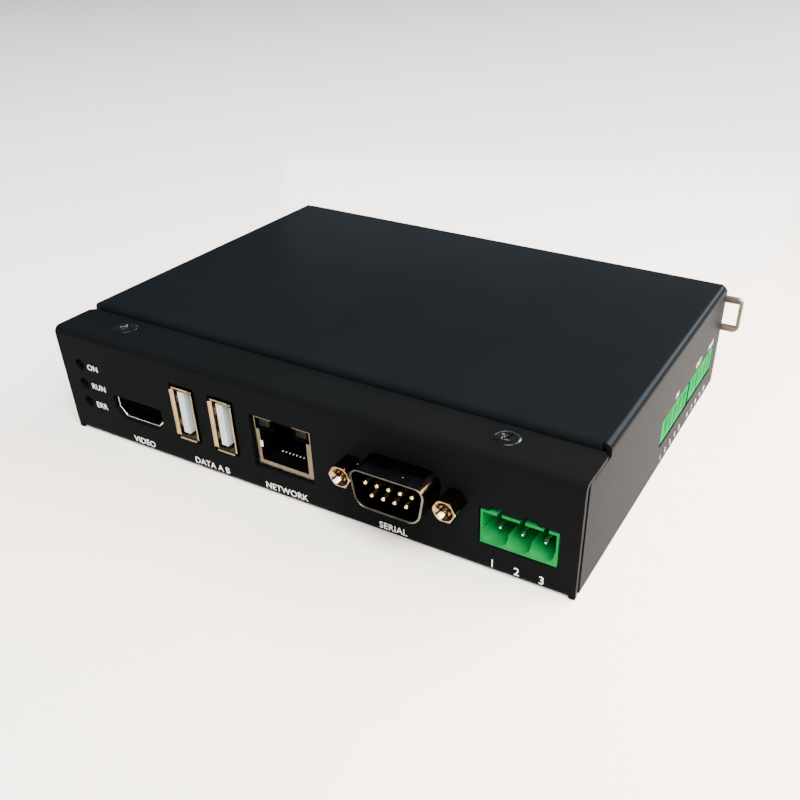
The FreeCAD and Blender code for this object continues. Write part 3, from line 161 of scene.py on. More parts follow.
def faces_up(face):
    return face.normal.z > FACING


def faces_down(face):
    return face.normal.z < -FACING


def faces_front(face):
    return face.normal.y < -FACING


def close_piece():
    """Ends the editing."""
    bpy.ops.object.mode_set(mode="OBJECT")


def set_all(target, **settings):
    """Gives a modifier, a text, a light or a camera its settings."""
    for key, value in settings.items():
        setattr(target, key, value)


def apply_modifier(piece, kind, **settings):
    """Adds a modifier with these settings and applies it."""
    select_only(piece)
    modifier = piece.modifiers.new(kind.lower(), kind)
    set_all(modifier, **settings)
    bpy.ops.object.modifier_apply(modifier=modifier.name)


def carve(piece, cutter, operation="DIFFERENCE"):
    """Cuts or joins a piece with another, which is then thrown away."""
    apply_modifier(piece, "BOOLEAN", operation=operation, object=cutter, solver="EXACT")
    bpy.data.objects.remove(cutter)


def smooth(piece):
    """Shades the curved faces smooth and keeps the corners sharp."""
    select_only(piece)
    bpy.ops.object.shade_smooth_by_angle(angle=SMOOTH_ANGLE)


def soften(piece, width, steps=2):
    """Rounds the sharp edges."""
    apply_modifier(piece, "BEVEL", width=width, segments=steps, limit_method="ANGLE", angle_limit=SHARP_ANGLE)
    smooth(piece)


def bevel_edges(piece, test, width, steps):
    """Bevels the edges whose two ends pass the test."""
    pick_edges(piece, test)
    bpy.ops.mesh.bevel(offset=width, segments=steps, affect="EDGES")
    close_piece()


def round_end(rod, length, width):
    """Bevels the upper rim of a rod that stands on z = 0 until it is a dome."""
    bevel_edges(rod, lambda a, b: min(a.z, b.z) > length / 2, width, 5)
    smooth(rod)


def close_ends(piece):
    """Fills the open ends of a swept piece and turns its faces outwards."""
    pick_faces(piece, any_face)
    bpy.ops.mesh.fill_holes(sides=0)
    bpy.ops.mesh.select_all(action="SELECT")
    bpy.ops.mesh.normals_make_consistent(inside=False)
    close_piece()
    smooth(piece)


def wound(name, sides, radius, start, pitch, turns, steps):
    """Wire that the Screw modifier winds round Z, from a circle at its start."""
    bpy.ops.mesh.primitive_circle_add(vertices=sides, radius=radius)
    wire = stand_at(name_new(name), start, FACE_FRONT)
    apply_modifier(wire, "SCREW", axis="Z", angle=2 * math.pi, screw_offset=pitch, iterations=turns,
                   steps=steps, render_steps=steps)
    close_ends(wire)
    return wire


def copy_of(piece):
    """Copy of a piece with its own mesh."""
    select_only(piece)
    bpy.ops.object.duplicate(linked=False)
    return bpy.context.object


def joined(pieces, name):
    """Several pieces made one."""
    select_only(*pieces)
    if len(pieces) > 1:
        bpy.ops.object.join()
    return name_new(name)


def repeated(model, name, spots):
    """Copies of a model, each at its place and turn, made one. The model is thrown away."""
    copies = [stand_at(copy_of(model), place, turn) for place, turn in spots]
    bpy.data.objects.remove(model)
    return joined(copies, name)


def row(count, pitch):
    """Places of a row with its middle at zero."""
    return [(k - (count - 1) / 2) * pitch for k in range(count)]


def box_where(node, test):
    """Corners of the box round the vertices of a solid that pass a test."""
    points = [v.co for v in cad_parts[node].data.vertices if test(v.co)]
    return [Vector([pick(p[k] for p in points) for k in range(3)]) for pick in (min, max)]


def middle(node):
    """Middle of a solid's box."""
    low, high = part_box(node)
    return (low + high) / 2


def fit(piece, finish, stands_for=(), body="case"):
    """Gives a finished piece its finish and its body, and hides the solids that it stands for."""
    piece.data.materials.clear()
    piece.data.materials.append(finish)
    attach(piece, body)
    if stands_for:
        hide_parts(*stands_for)
    print(piece.name, "faces:", len(piece.data.polygons))


print("edges get rounded from", round(math.degrees(SHARP_ANGLE)), "degrees")

# %% [markdown]
# Every finish is built from the same few blocks: noise at a named grain size, two shades of one colour, a
# range of roughness and a slight rounding of the edges in the shading. Patterns read Object coordinates, so
# they stay put when a latch slides or a camera moves.

# %% Helpers for finishes
RAMP_ENDS = (0.35, 0.65)
NOISE_ENDS = (0.3, 0.7)


def start_finish(name, **sockets):
    """New finish with its shader; the named sockets get fixed values."""
    material = bpy.data.materials.new(name)
    material.use_nodes = True
    tree = material.node_tree
    shader = tree.nodes["Principled BSDF"]
    for key, value in sockets.items():
        shader.inputs[key.replace("_", " ")].default_value = value
    return material, tree, shader


def object_place(tree, stretch=(1, 1, 1)):
    """Place on the piece, stretched where a finish runs one way."""
    place = tree.nodes.new("ShaderNodeTexCoord").outputs["Object"]
    mapping = tree.nodes.new("ShaderNodeMapping")
    mapping.inputs["Scale"].default_value = stretch
    tree.links.new(place, mapping.inputs["Vector"])
    return mapping.outputs["Vector"]


def grain(tree, place, size, detail=2.0):
    """Noise with about one blot in each length of this size."""
    noise = tree.nodes.new("ShaderNodeTexNoise")
    noise.inputs["Scale"].default_value = 1 / size
    noise.inputs["Detail"].default_value = detail
    tree.links.new(place, noise.inputs["Vector"])
    return noise.outputs["Fac"]


def shade_between(tree, factor, dark, light, shader):
    """Two shades of one colour, blended by noise."""
    ramp = tree.nodes.new("ShaderNodeValToRGB")
    for stop, end, colour in zip(ramp.color_ramp.elements, RAMP_ENDS, (dark, light)):
        stop.position = end
        stop.color = (*colour, 1)
    tree.links.new(factor, ramp.inputs["Fac"])
    tree.links.new(ramp.outputs["Color"], shader.inputs["Base Color"])


def rough_between(tree, factor, low, high, shader):
    """Roughness spread over a range by noise."""
    spread = tree.nodes.new("ShaderNodeMapRange")
    for key, value in zip(("From Min", "From Max", "To Min", "To Max"), (*NOISE_ENDS, low, high)):
        spread.inputs[key].default_value = value
    tree.links.new(factor, spread.inputs["Value"])
    tree.links.new(spread.outputs["Result"], shader.inputs["Roughness"])


def raise_grain(tree, factor, depth, strength, edge, shader):
    """Bump of this depth, over edges that look rounded to this radius."""
    bump = tree.nodes.new("ShaderNodeBump")
    bump.inputs["Strength"].default_value = strength
    bump.inputs["Distance"].default_value = depth
    tree.links.new(factor, bump.inputs["Height"])
    rounding = tree.nodes.new("ShaderNodeBevel")
    rounding.samples = 4
    rounding.inputs["Radius"].default_value = edge
    tree.links.new(rounding.outputs["Normal"], bump.inputs["Normal"])
    tree.links.new(bump.outputs["Normal"], shader.inputs["Normal"])


print("colours blend over this part of the noise:", RAMP_ENDS)

# %% [markdown]
# The case is steel sheet under a fine textured powder coat. The coat is baked on as dust, so it keeps a grain
# of a third of a millimetre and a slight cloudiness over some centimetres. A flat black would show neither.

# %% Powder coats of the case
CLOUD_SIZE = 22 * MM
DUST_SIZE = 0.32 * MM
DUST_DEPTH = 0.03 * MM
DUST_ROUGH = 0.06
COAT_BUMP = 0.18
COAT_EDGE = 0.12 * MM


def powder_coat(name, dark, light, gloss, rough, **sockets):
    finish, tree, shader = start_finish(name, Specular_IOR_Level=gloss, **sockets)
    place = object_place(tree)
    cloud = grain(tree, place, CLOUD_SIZE, 3.0)
    dust = grain(tree, place, DUST_SIZE, 1.0)
    shade_between(tree, cloud, dark, light, shader)
    rough_between(tree, dust, rough - DUST_ROUGH, rough + DUST_ROUGH, shader)
    raise_grain(tree, dust, DUST_DEPTH, COAT_BUMP, COAT_EDGE, shader)
    return finish


chassis_coat = powder_coat("chassis_coat", (0.0023, 0.0029, 0.0035), (0.0026, 0.0033, 0.0040), 0.008, 0.50)
cover_coat = powder_coat("cover_coat", (0.0025, 0.0035, 0.0048), (0.0028, 0.0039, 0.0053), 0.004, 0.60,
                         Coat_Weight=0.046, Coat_Roughness=0.18)
print("coats:", chassis_coat.name, cover_coat.name)

# %% [markdown]
# Plated metals differ in colour, in how bright they are and in the way their sheet was rolled. Some are
# darkened or brightened copies of one plating, painted shade and painted highlight. One recipe serves them
# all:
# fine noise stretched along the rolling direction, in the colour, roughness and bump.

# %% Plated metals
ALONG_X = (0.25, 1, 2)
ALONG_Y = (1, 0.2, 1)
ALONG_Z = (1, 1, 0.3)
SOCKET_GRAIN = 1.5 * MM
PLATE_DEPTH = 0.01 * MM
PLATE_BUMP = 0.06
PLATE_EDGE = 0.08 * MM


def plated(name, dark, light, rough, size, stretch=(1, 1, 1)):
    finish, tree, shader = start_finish(name, Metallic=1.0)
    place = object_place(tree, stretch)
    streak = grain(tree, place, size, 2.0)
    shade_between(tree, streak, dark, light, shader)
    rough_between(tree, streak, *rough, shader)
    raise_grain(tree, streak, PLATE_DEPTH, PLATE_BUMP, PLATE_EDGE, shader)
    return finish


def socket_metal(name, dark, light, rough):
    return plated(name, dark, light, rough, SOCKET_GRAIN, ALONG_Z)


socket_nickel = socket_metal("socket_nickel", (0.27, 0.20, 0.12), (0.35, 0.27, 0.17), (0.14, 0.24))
data_nickel = socket_metal("data_nickel", (0.20, 0.145, 0.082), (0.27, 0.20, 0.12), (0.14, 0.24))
# Painted shade: a darkened copy of the plated socket metal, for the video shell, the network contacts and the
# tab's arm.
socket_painted_shade = socket_metal("socket_painted_shade", (0.040, 0.037, 0.034), (0.065, 0.060, 0.055), (0.24, 0.36))
jack_bronze = socket_metal("jack_bronze", (0.10, 0.082, 0.058), (0.14, 0.115, 0.085), (0.22, 0.34))
spring_tin = plated("spring_tin", (0.74, 0.75, 0.75), (0.88, 0.88, 0.88), (0.36, 0.50), 0.8 * MM)
# Painted highlight: the bright edge round the video socket's mouth, on a shell darkened as painted shade.
rim_painted_highlight = plated("rim_painted_highlight", (0.66, 0.61, 0.54), (0.78, 0.73, 0.66), (0.06, 0.11), 2.0 * MM)
# Painted highlight and painted shade: the serial bead is a lighter, and the serial shell a near-black, copy
# of one plating.
bead_painted_highlight = plated("bead_painted_highlight", (0.09, 0.085, 0.075), (0.13, 0.12, 0.11), (0.08, 0.14), 2.0 * MM)
serial_painted_shade = plated("serial_painted_shade", (0.030, 0.030, 0.030), (0.045, 0.045, 0.045), (0.14, 0.22), 2.0 * MM)
nut_nickel = plated("nut_nickel", (0.23, 0.165, 0.095), (0.31, 0.23, 0.14), (0.07, 0.13), 1.0 * MM)
contact_gold = plated("contact_gold", (0.78, 0.55, 0.24), (0.92, 0.72, 0.38), (0.16, 0.26), 0.6 * MM)
# Painted shade: the data contacts' dark bronze stands for the shade on the tongues' right faces.
contact_painted_shade = plated("contact_painted_shade", (0.20, 0.15, 0.10), (0.30, 0.23, 0.15), (0.24, 0.36), 0.6 * MM)
pin_tin = plated("pin_tin", (0.66, 0.66, 0.64), (0.82, 0.82, 0.80), (0.18, 0.30), 0.6 * MM)
fastener_zinc = plated("fastener_zinc", (0.46, 0.46, 0.45), (0.60, 0.60, 0.58), (0.30, 0.45), 1.0 * MM)
clip_zinc = plated("clip_zinc", (0.11, 0.105, 0.078), (0.17, 0.16, 0.125), (0.34, 0.50), 2.0 * MM, ALONG_X)
screw_black = plated("screw_black", (0.060, 0.061, 0.064), (0.10, 0.101, 0.104), (0.14, 0.24), 0.8 * MM)
sink_aluminium = plated("sink_aluminium", (0.62, 0.63, 0.64), (0.75, 0.76, 0.77), (0.32, 0.46), 1.0 * MM,
                        ALONG_Y)
print("last plated metal:", sink_aluminium.name)

# %% [markdown]
# Mouldings take the grain of their mould and cool a little unevenly, so their colour drifts over some
# millimetres. The terminal green also lets a little light in, which brightens its thin edges.

# %% Mouldings
MOULD_GRAIN = 0.18 * MM
MOULD_DEPTH = 0.008 * MM
MOULD_BUMP = 0.15
MOULD_EDGE = 0.15 * MM


def moulded(name, dark, light, rough, size, **sockets):
    finish, tree, shader = start_finish(name, **sockets)
    place = object_place(tree)
    drift = grain(tree, place, size, 2.0)
    mould = grain(tree, place, MOULD_GRAIN, 1.0)
    shade_between(tree, drift, dark, light, shader)
    rough_between(tree, drift, *rough, shader)
    raise_grain(tree, mould, MOULD_DEPTH, MOULD_BUMP, MOULD_EDGE, shader)
    return finish


insert_black = moulded("insert_black", (0.0008, 0.0009, 0.0011), (0.0013, 0.0014, 0.0017), (0.45, 0.60),
                       4 * MM, Specular_IOR_Level=0.0)
insert_white = moulded("insert_white", (0.30, 0.385, 0.44), (0.35, 0.435, 0.49), (0.30, 0.42), 3 * MM)
supply_green = moulded("supply_green", (0.0008, 0.105, 0.025), (0.0015, 0.14, 0.033), (0.28, 0.40), 5 * MM,
                       Specular_IOR_Level=0.02, Subsurface_Weight=0.02, Subsurface_Scale=0.6 * MM)
signal_green = moulded("signal_green", (0.0004, 0.15, 0.040), (0.0008, 0.19, 0.052), (0.30, 0.42), 5 * MM,
                       Specular_IOR_Level=0.0, Subsurface_Weight=0.01, Subsurface_Scale=0.6 * MM)
chip_black = moulded("chip_black", (0.012, 0.012, 0.013), (0.024, 0.024, 0.025), (0.50, 0.65), 2 * MM)
board_mask = moulded("board_mask", (0.010, 0.070, 0.030), (0.018, 0.110, 0.048), (0.28, 0.42), 1.6 * MM,
                     Coat_Weight=0.3)
lamp_green = moulded("lamp_green", (0.0014, 0.0052, 0.0016), (0.0020, 0.0080, 0.0024), (0.16, 0.26), 2 * MM,
                     Specular_IOR_Level=0.04)
lamp_yellow = moulded("lamp_yellow", (0.0040, 0.0032, 0.0010), (0.0060, 0.0048, 0.0016), (0.16, 0.26), 2 * MM,
                      Specular_IOR_Level=0.04)
smoked_clear = moulded("smoked_clear", (0.003, 0.003, 0.0035), (0.006, 0.006, 0.0065), (0.10, 0.20), 2 * MM,
                       Specular_IOR_Level=0.3)
print_white = moulded("print_white", (0.74, 0.75, 0.76), (0.84, 0.85, 0.86), (0.45, 0.60), 0.8 * MM)
print("last moulding:", print_white.name)

# %% [markdown]
# Each solid that keeps its own shape gets its finish by name. Solids that a finer piece stands for get one
# too, so that none is left bare.

# %% Finishes of the solids
NODE_FINISHES = {
    chassis_coat: ["chassis"],
    cover_coat: ["cover"],
    screw_black: ["cover_front_screws", "cover_rear_screws"],
    fastener_zinc: ["cover_front_nuts", "cover_rear_nuts", "board_standoffs", "board_screws", "coin_cell",
                    "rail_clip_screws", "rail_clip_nuts", "latch_spring"],
    board_mask: ["main_board"],
    smoked_clear: ["status_light_pipe_1", "status_light_pipe_2", "status_light_pipe_3"],
    # Painted shade: the video shell and the network contacts get the darkened socket metal.
    socket_painted_shade: ["video_port_shell", "network_jack_contacts"],
    data_nickel: ["data_port_a_shell", "data_port_b_shell"],
    jack_bronze: ["network_jack_shield"],
    # Painted shade: the serial shell's near-black plating.
    serial_painted_shade: ["serial_shell"],
    nut_nickel: ["serial_jack_nuts"],
    insert_black: ["video_port_tongue", "network_jack_body", "serial_insulator", "battery_holder"],
    insert_white: ["data_port_a_tongue", "data_port_b_tongue"],
    contact_gold: ["serial_pins"],
    lamp_green: ["network_link_lamp"],
    lamp_yellow: ["network_traffic_lamp"],
    supply_green: ["power_header"],
    signal_green: ["io_header_front", "io_header_rear"],
    pin_tin: ["power_pins", "io_pins_front", "io_pins_rear"],
    chip_black: ["status_leds", "processor", "memory_chips", "network_transformer", "supply_inductor",
                 "input_isolators"],
    sink_aluminium: ["heat_sink", "supply_capacitors"],
    clip_zinc: ["rail_clip", "rail_latch"],
}
for finish, names in NODE_FINISHES.items():
    for name in names:
        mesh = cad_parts[name].data
        mesh.materials.clear()
        mesh.materials.append(finish)
dressed = {name for names in NODE_FINISHES.values() for name in names}
print("solids without a finish:", sorted(set(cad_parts) - dressed))

# %% [markdown]
# The case's screws have flat cone heads with a cross recess. One is modelled at the origin, head up, and
# copied to each hole with its own turn, since no two screws stop at the same angle. The recess is cut by two
# bars whose lower faces are drawn in, so that its walls lean like those of a stamped cross.

# %% Case screws
SHANK_R = 1.5 * MM
HEAD_R = 2.9 * MM
HEAD_CONE = HEAD_R - SHANK_R
HEAD_CROWN = 0.18 * MM
SCREW_LENGTH = 5 * MM
CROSS_REACH = 1.7 * MM
CROSS_WIDTH = 0.75 * MM
CROSS_DEPTH = 1.1 * MM
CROSS_DRAW = 0.6
EDGE_SOFT = 0.06 * MM


def cut_cross(screw, top):
    """Cuts a cross recess into a screw from this height down."""
    half = CROSS_WIDTH / 2
    for x, y in ((CROSS_REACH, half), (half, CROSS_REACH)):
        bar = add_block("bar", (-x, -y, top - CROSS_DEPTH), (x, y, top + CROSS_DEPTH))
        pick_faces(bar, faces_down)
        bpy.ops.transform.resize(value=(CROSS_DRAW, CROSS_DRAW, 1))
        close_piece()
        carve(screw, bar)


def screw_pair(model, name, node, turns, facing=Matrix()):
    """Copies of a screw at both ends of a pair of solids, each with its own turn."""
    low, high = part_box(node)
    radius = model.dimensions.x / 2
    top = (low + high) / 2
    axis = 2 if facing == Matrix() else 1
    top[axis] = high[axis]
    spots = []
    for x, turn in zip((low.x + radius, high.x - radius), turns):
        spots.append(((x, top.y, top.z), facing @ turned(turn, "Z")))
    return repeated(model, name, spots)


def case_screw():
    """Countersunk screw pointing down, its head's rim at the origin's height."""
    screw = add_cone("case_screw", SHANK_R, HEAD_R, HEAD_CONE)
    screw = stand_at(screw, (0, 0, -HEAD_CONE))
    pick_faces(screw, faces_down)
    bpy.ops.mesh.extrude_region_move(TRANSFORM_OT_translate={"value": (0, 0, HEAD_CONE - SCREW_LENGTH)})
    close_piece()
    pick_faces(screw, faces_up)
    bpy.ops.mesh.inset(thickness=HEAD_R / 4)
    bpy.ops.transform.translate(value=(0, 0, HEAD_CROWN))
    close_piece()
    cut_cross(screw, HEAD_CROWN)
    soften(screw, EDGE_SOFT)
    return screw


for name, node, turns, facing in (("flange_screws", "cover_front_screws", (24, 62), Matrix()),
                                  ("rear_screws", "cover_rear_screws", (10, 51), FACE_REAR)):
    fit(screw_pair(case_screw(), name, node, turns, facing), screw_black, [node])

# %% [markdown]
# The rail clip's screws have domed heads. Each starts as a plain disc, and a bevel with many steps turns its
# rim into the dome.

# %% Clip screws
PAN_R = 2.75 * MM
PAN_HEIGHT = 2.0 * MM
PAN_DOME = 0.7 * PAN_HEIGHT


def pan_screw(length):
    """Domed screw pointing down, its top at the origin."""
    screw = stand_at(add_rod("pan_screw", PAN_R, PAN_HEIGHT), (0, 0, -PAN_HEIGHT))
    bevel_edges(screw, lambda a, b: min(a.z, b.z) > -PAN_HEIGHT / 2, PAN_DOME, 6)
    pick_faces(screw, faces_down)
    bpy.ops.mesh.inset(thickness=PAN_R - SHANK_R)
    bpy.ops.mesh.extrude_region_move(TRANSFORM_OT_translate={"value": (0, 0, PAN_HEIGHT - length)})
    close_piece()
    cut_cross(screw, 0)
    soften(screw, EDGE_SOFT)
    return screw


low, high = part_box("rail_clip_screws")
clip_screws = screw_pair(pan_screw(high.y - low.y), "clip_screws", "rail_clip_screws", (35, 71), FACE_REAR)
fit(clip_screws, fastener_zinc, ["rail_clip_screws"])

# %% [markdown]
# A serial connector's shell is drawn from sheet. The outline is a D: a block whose lower face is drawn in,
# with four long edges rounded. The hollow is the same form again, smaller by the sheet.

# %% Serial shell
PANEL_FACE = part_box("chassis")[0].y
SHELL_WIDTH = 18.3 * MM
SHELL_SHEET = 0.4 * MM
SHELL_CORNER = 2.6 * MM
SHELL_SLANT = math.radians(10)
BEAD_DEPTH = 0.15 * MM
LOCK_PITCH = 24.99 * MM
STUD_HOLE_R = 1.6 * MM
SERIAL = middle("serial_jack_nuts")
LOCKS = (SERIAL.x - LOCK_PITCH / 2, SERIAL.x + LOCK_PITCH / 2)


def d_block(name, low, high, corner):
    """Block with a D outline across Y, wide side up."""
    block = add_block(name, low, high)
    draw_in = (high.z - low.z) * math.tan(SHELL_SLANT)
    pick_faces(block, faces_down)
    bpy.ops.transform.resize(value=(1 - 2 * draw_in / (high.x - low.x), 1, 1))
    close_piece()
    bevel_edges(block, lambda a, b: abs(a.y - b.y) > (high.y - low.y) / 2, corner, 8)
    return block


flange_low, flange_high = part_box("serial_shell")
mouth_low, mouth_high = box_where("serial_shell", lambda p: p.y < PANEL_FACE)
mouth_low.x, mouth_high.x = SERIAL.x - SHELL_WIDTH / 2, SERIAL.x + SHELL_WIDTH / 2
flange_sheet = box_where("serial_shell", lambda p: p.x > LOCKS[1])
wall_end = Vector((mouth_high.x, flange_high.y, mouth_high.z))
shell = d_block("serial_shell_drawn", mouth_low + Vector((0, BEAD_DEPTH / 2, 0)), wall_end, SHELL_CORNER)
carve(shell, add_block("flange", (flange_low.x, flange_sheet[0].y, flange_low.z), flange_high), "UNION")
inside = Vector((SHELL_SHEET, -MM, SHELL_SHEET))
carve(shell, d_block("hollow", mouth_low + inside, wall_end - inside, SHELL_CORNER - SHELL_SHEET))
for x in LOCKS:
    drill = add_rod("drill", STUD_HOLE_R, flange_high.y - PANEL_FACE)
    carve(shell, stand_at(drill, (x, flange_high.y + MM / 2, SERIAL.z), FACE_FRONT))
soften(shell, EDGE_SOFT)
print("serial shell faces:", len(shell.data.polygons))

# %% [markdown]
# Two dimples on top of the shell are flattened spheres. The mouth is rolled over to a bead, a short ring of
# the shell's form, bevelled until it is round. The shell's near-black plating is painted shade, and the bead
# gets a lighter copy of it as a painted highlight.

# %% Dimples and bead of the serial shell
BEAD_SHEET = 0.08 * MM
BEAD_END = 0.45 * MM
BEAD_ROUND = 0.035 * MM
DIMPLE_R = 0.28 * MM
DIMPLE_FLAT = Matrix.Diagonal((1, 1, 0.7, 1))
DIMPLE_PLACES = ((0.045, 4.0, 0.5), (0.645, 4.25, 0.05))
dimples = []
for share, ahead, drop in DIMPLE_PLACES:
    bpy.ops.mesh.primitive_uv_sphere_add(segments=16, ring_count=8, radius=DIMPLE_R)
    place = (mouth_low.x + share * SHELL_WIDTH, PANEL_FACE - ahead * MM, mouth_high.z - drop * MM)
    dimples.append(stand_at(name_new("dimple"), place, DIMPLE_FLAT))
    smooth(dimples[-1])
fit(joined([shell] + dimples, "serial_shell_drawn"), serial_painted_shade, ["serial_shell"])
bead_end = Vector((mouth_high.x, mouth_low.y + BEAD_DEPTH, mouth_high.z))
bead = d_block("serial_bead", mouth_low, bead_end, SHELL_CORNER)
inside_low = mouth_low + Vector((BEAD_SHEET, -MM, BEAD_SHEET))
inside_high = bead_end + Vector((-BEAD_END, MM, -BEAD_SHEET))
carve(bead, d_block("hollow", inside_low, inside_high, SHELL_CORNER - BEAD_SHEET))
soften(bead, BEAD_ROUND, 5)
# The bead's lighter plating is a painted highlight.
fit(bead, bead_painted_highlight)

# %% [markdown]
# The nine turned pins have round noses. Each is a rod whose end edge is bevelled until it is a dome. The
# frame's pins have eight sides, which shows in a close view.

# %% Serial pins
PIN_R = 0.5 * MM
PIN_DOME = 0.85 * PIN_R
PIN_PITCH = 2.77 * MM
low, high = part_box("serial_pins")
pin_model = add_rod("pin", PIN_R, high.y - low.y, 24)
round_end(pin_model, high.y - low.y, PIN_DOME)
spots = []
for count, z in ((5, high.z - PIN_R), (4, low.z + PIN_R)):
    spots += [((SERIAL.x + x, high.y, z), FACE_FRONT) for x in row(count, PIN_PITCH)]
fit(repeated(pin_model, "serial_pins_turned", spots), contact_gold, ["serial_pins"])

# %% [markdown]
# The hexagonal jack nuts hold the connector and take the plug's screws. A cone trims the hexagon's corners,
# as a lathe does, and a second cone opens the mouth. A triangle swept by the Screw modifier is the thread.

# %% Jack nuts
HEX_HALF = 30
NUT_R = 2.4 * MM / math.cos(math.radians(HEX_HALF))
TRIM_R = 0.9 * NUT_R
TRIM_SLOPE = math.tan(math.radians(60))
BORE_R = 1.22 * MM
BORE_DEPTH = 4.4 * MM
MOUTH_R = 2.2 * MM
MOUTH_DEPTH = 1.5 * MM
STUD_R = 1.4 * MM
THREAD_PITCH = 0.635 * MM
THREAD_TURNS = 5
THREAD_STEPS = 24
THREAD_HEIGHT = 0.16 * MM
nut_low, nut_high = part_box("serial_jack_nuts")
nut_length = PANEL_FACE - nut_low.y
stud_length = nut_high.y - PANEL_FACE


def jack_nut():
    """Nut standing on z = 0 with its stud below."""
    nut = stand_at(add_rod("nut", NUT_R, nut_length, 6), (0, 0, 0), turned(HEX_HALF, "Z"))
    trim = add_cone("trim", TRIM_R + nut_length * TRIM_SLOPE, TRIM_R, nut_length, 64)
    carve(nut, trim, "INTERSECT")
    carve(nut, stand_at(add_rod("stud", STUD_R, stud_length + MM), (0, 0, -stud_length)), "UNION")
    carve(nut, stand_at(add_rod("bore", BORE_R, nut_length), (0, 0, nut_length - BORE_DEPTH)))
    mouth = add_cone("mouth", BORE_R, MOUTH_R, MOUTH_DEPTH)
    carve(nut, stand_at(mouth, (0, 0, nut_length - MOUTH_DEPTH + SLIVER)))
    soften(nut, EDGE_SOFT)
    start = (BORE_R, 0, nut_length - MOUTH_DEPTH - THREAD_TURNS * THREAD_PITCH)
    thread = wound("thread", 3, THREAD_HEIGHT, start, THREAD_PITCH, THREAD_TURNS, THREAD_STEPS)
    return joined([nut, thread], "nut")


spots = [((x, PANEL_FACE, SERIAL.z), FACE_FRONT) for x in LOCKS]
fit(repeated(jack_nut(), "jack_nuts", spots), nut_nickel, ["serial_jack_nuts"])

# %% [markdown]
# The video socket's mouth is a bright edge round a dark hollow. The shell has the darkened socket metal as
# painted shade, and the edge a bright copy of that metal as painted highlight. The outline is a block with
# two lower corners cut off by bisecting planes. The same block, smaller by the sheet, opens it.

# %% Video socket edge
VIDEO_TAPER = 2.0 * MM
VIDEO_SLOPE = 2.3 * MM
VIDEO_SHEET = 0.36 * MM
EDGE_DEPTH = 0.25 * MM
VIDEO_MOUTH = box_where("video_port_shell", lambda p: p.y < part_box("video_port_shell")[0].y + SLIVER)


def video_block(name, shrink, near, far):
    """Block with the socket's outline, drawn in by this much all round."""
    low, high = VIDEO_MOUTH
    block = add_block(name, (low.x + shrink, near, low.z + shrink), (high.x - shrink, far, high.z - shrink))
    for side, x in ((-1, low.x + VIDEO_TAPER), (1, high.x - VIDEO_TAPER)):
        lean = Vector((side * VIDEO_SLOPE, 0, -VIDEO_TAPER)).normalized()
        pick_faces(block, any_face)
        bpy.ops.mesh.bisect(plane_co=Vector((x, near, low.z)) - shrink * lean, plane_no=lean, use_fill=True,
                            clear_outer=True)
        close_piece()
    return block


video_y = VIDEO_MOUTH[0].y
video_edge = video_block("video_edge", 0, video_y - EDGE_SOFT, video_y + EDGE_DEPTH)
carve(video_edge, video_block("hollow", VIDEO_SHEET, video_y - MM, video_y + MM))
soften(video_edge, EDGE_SOFT)
# The edge's bright metal is a painted highlight.
fit(video_edge, rim_painted_highlight)

# %% [markdown]
# Spring fingers press on a plug's sides. Each starts as a flat strip, cut once across its middle. That middle
# is pushed out and rounded, which bows the strip.

# %% Spring fingers of the data sockets
FINGER_LENGTH = 6.5 * MM
FINGER_WIDTH = 1.7 * MM
FINGER_SHEET = 0.15 * MM
FINGER_BOW = 0.45 * MM
FINGER_SPREAD = 3.2 * MM
FINGER_START = 0.6 * MM
SOCKET_SHEET = 0.4 * MM
TO_LEFT = turned(180, "Y")


def bowed_strip(length, width, bow):
    """Strip along Y on edge, with its middle pushed out along X."""
    strip = add_block("strip", (0, 0, -width / 2), (FINGER_SHEET, length, width / 2))
    pick_edges(strip, lambda a, b: abs(a.y - b.y) > length / 2)
    bpy.ops.mesh.subdivide(number_cuts=1)
    close_piece()
    pick_edges(strip, lambda a, b: max(abs(a.y - length / 2), abs(b.y - length / 2)) < length / 10)
    bpy.ops.transform.translate(value=(bow, 0, 0))
    bpy.ops.mesh.bevel(offset=length / 4, segments=4, affect="EDGES")
    close_piece()
    smooth(strip)
    return strip


spots = []
for port in ("data_port_a_shell", "data_port_b_shell"):
    wall_low, wall_high = box_where(port, lambda p: p.y > PANEL_FACE + MM)
    centre = (wall_low + wall_high) / 2
    for z in (centre.z - FINGER_SPREAD, centre.z + FINGER_SPREAD):
        for x, turn in ((wall_low.x + SOCKET_SHEET, Matrix()), (wall_high.x - SOCKET_SHEET, TO_LEFT)):
            spots.append(((x, PANEL_FACE + FINGER_START, z), turn))
finger = bowed_strip(FINGER_LENGTH, FINGER_WIDTH, FINGER_BOW)
fit(repeated(finger, "data_spring_fingers", spots), socket_nickel)

# %% [markdown]
# Flat contacts lie on the right face of each data tongue. One strip is modelled with rounded edges and
# repeated down the tongue. Their dark bronze colour, far below plated gold, is painted shade on that face.

# %% Contacts of the data sockets
CONTACT_LENGTH = 7.5 * MM
CONTACT_WIDTH = 1.1 * MM
CONTACT_SHEET = 0.12 * MM
CONTACT_START = 2.2 * MM
CONTACT_PLACES = (-3.5, -1.0, 1.0, 3.5)
TONGUE_REACH = 5 * MM
TONGUE_FOOT = 2 * MM
half = CONTACT_WIDTH / 2
contact = add_block("contact", (0, CONTACT_START, -half), (CONTACT_SHEET, CONTACT_LENGTH, half))
soften(contact, CONTACT_SHEET / 3)
spots = []
for port in ("data_port_a_tongue", "data_port_b_tongue"):
    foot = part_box(port)[0].z + TONGUE_FOOT
    tongue_low, tongue_high = box_where(port, lambda p: p.y < PANEL_FACE + TONGUE_REACH and p.z > foot)
    centre_z = (tongue_low.z + tongue_high.z) / 2
    for place in CONTACT_PLACES:
        spots.append(((tongue_high.x, tongue_low.y, centre_z + place * MM), Matrix()))
fit(repeated(contact, "data_contacts", spots), contact_painted_shade)

# %% [markdown]
# The network socket's screen is folded from sheet, with a window for the plug, a wider one for the two lamps
# and a notch above. Blocks cut them.

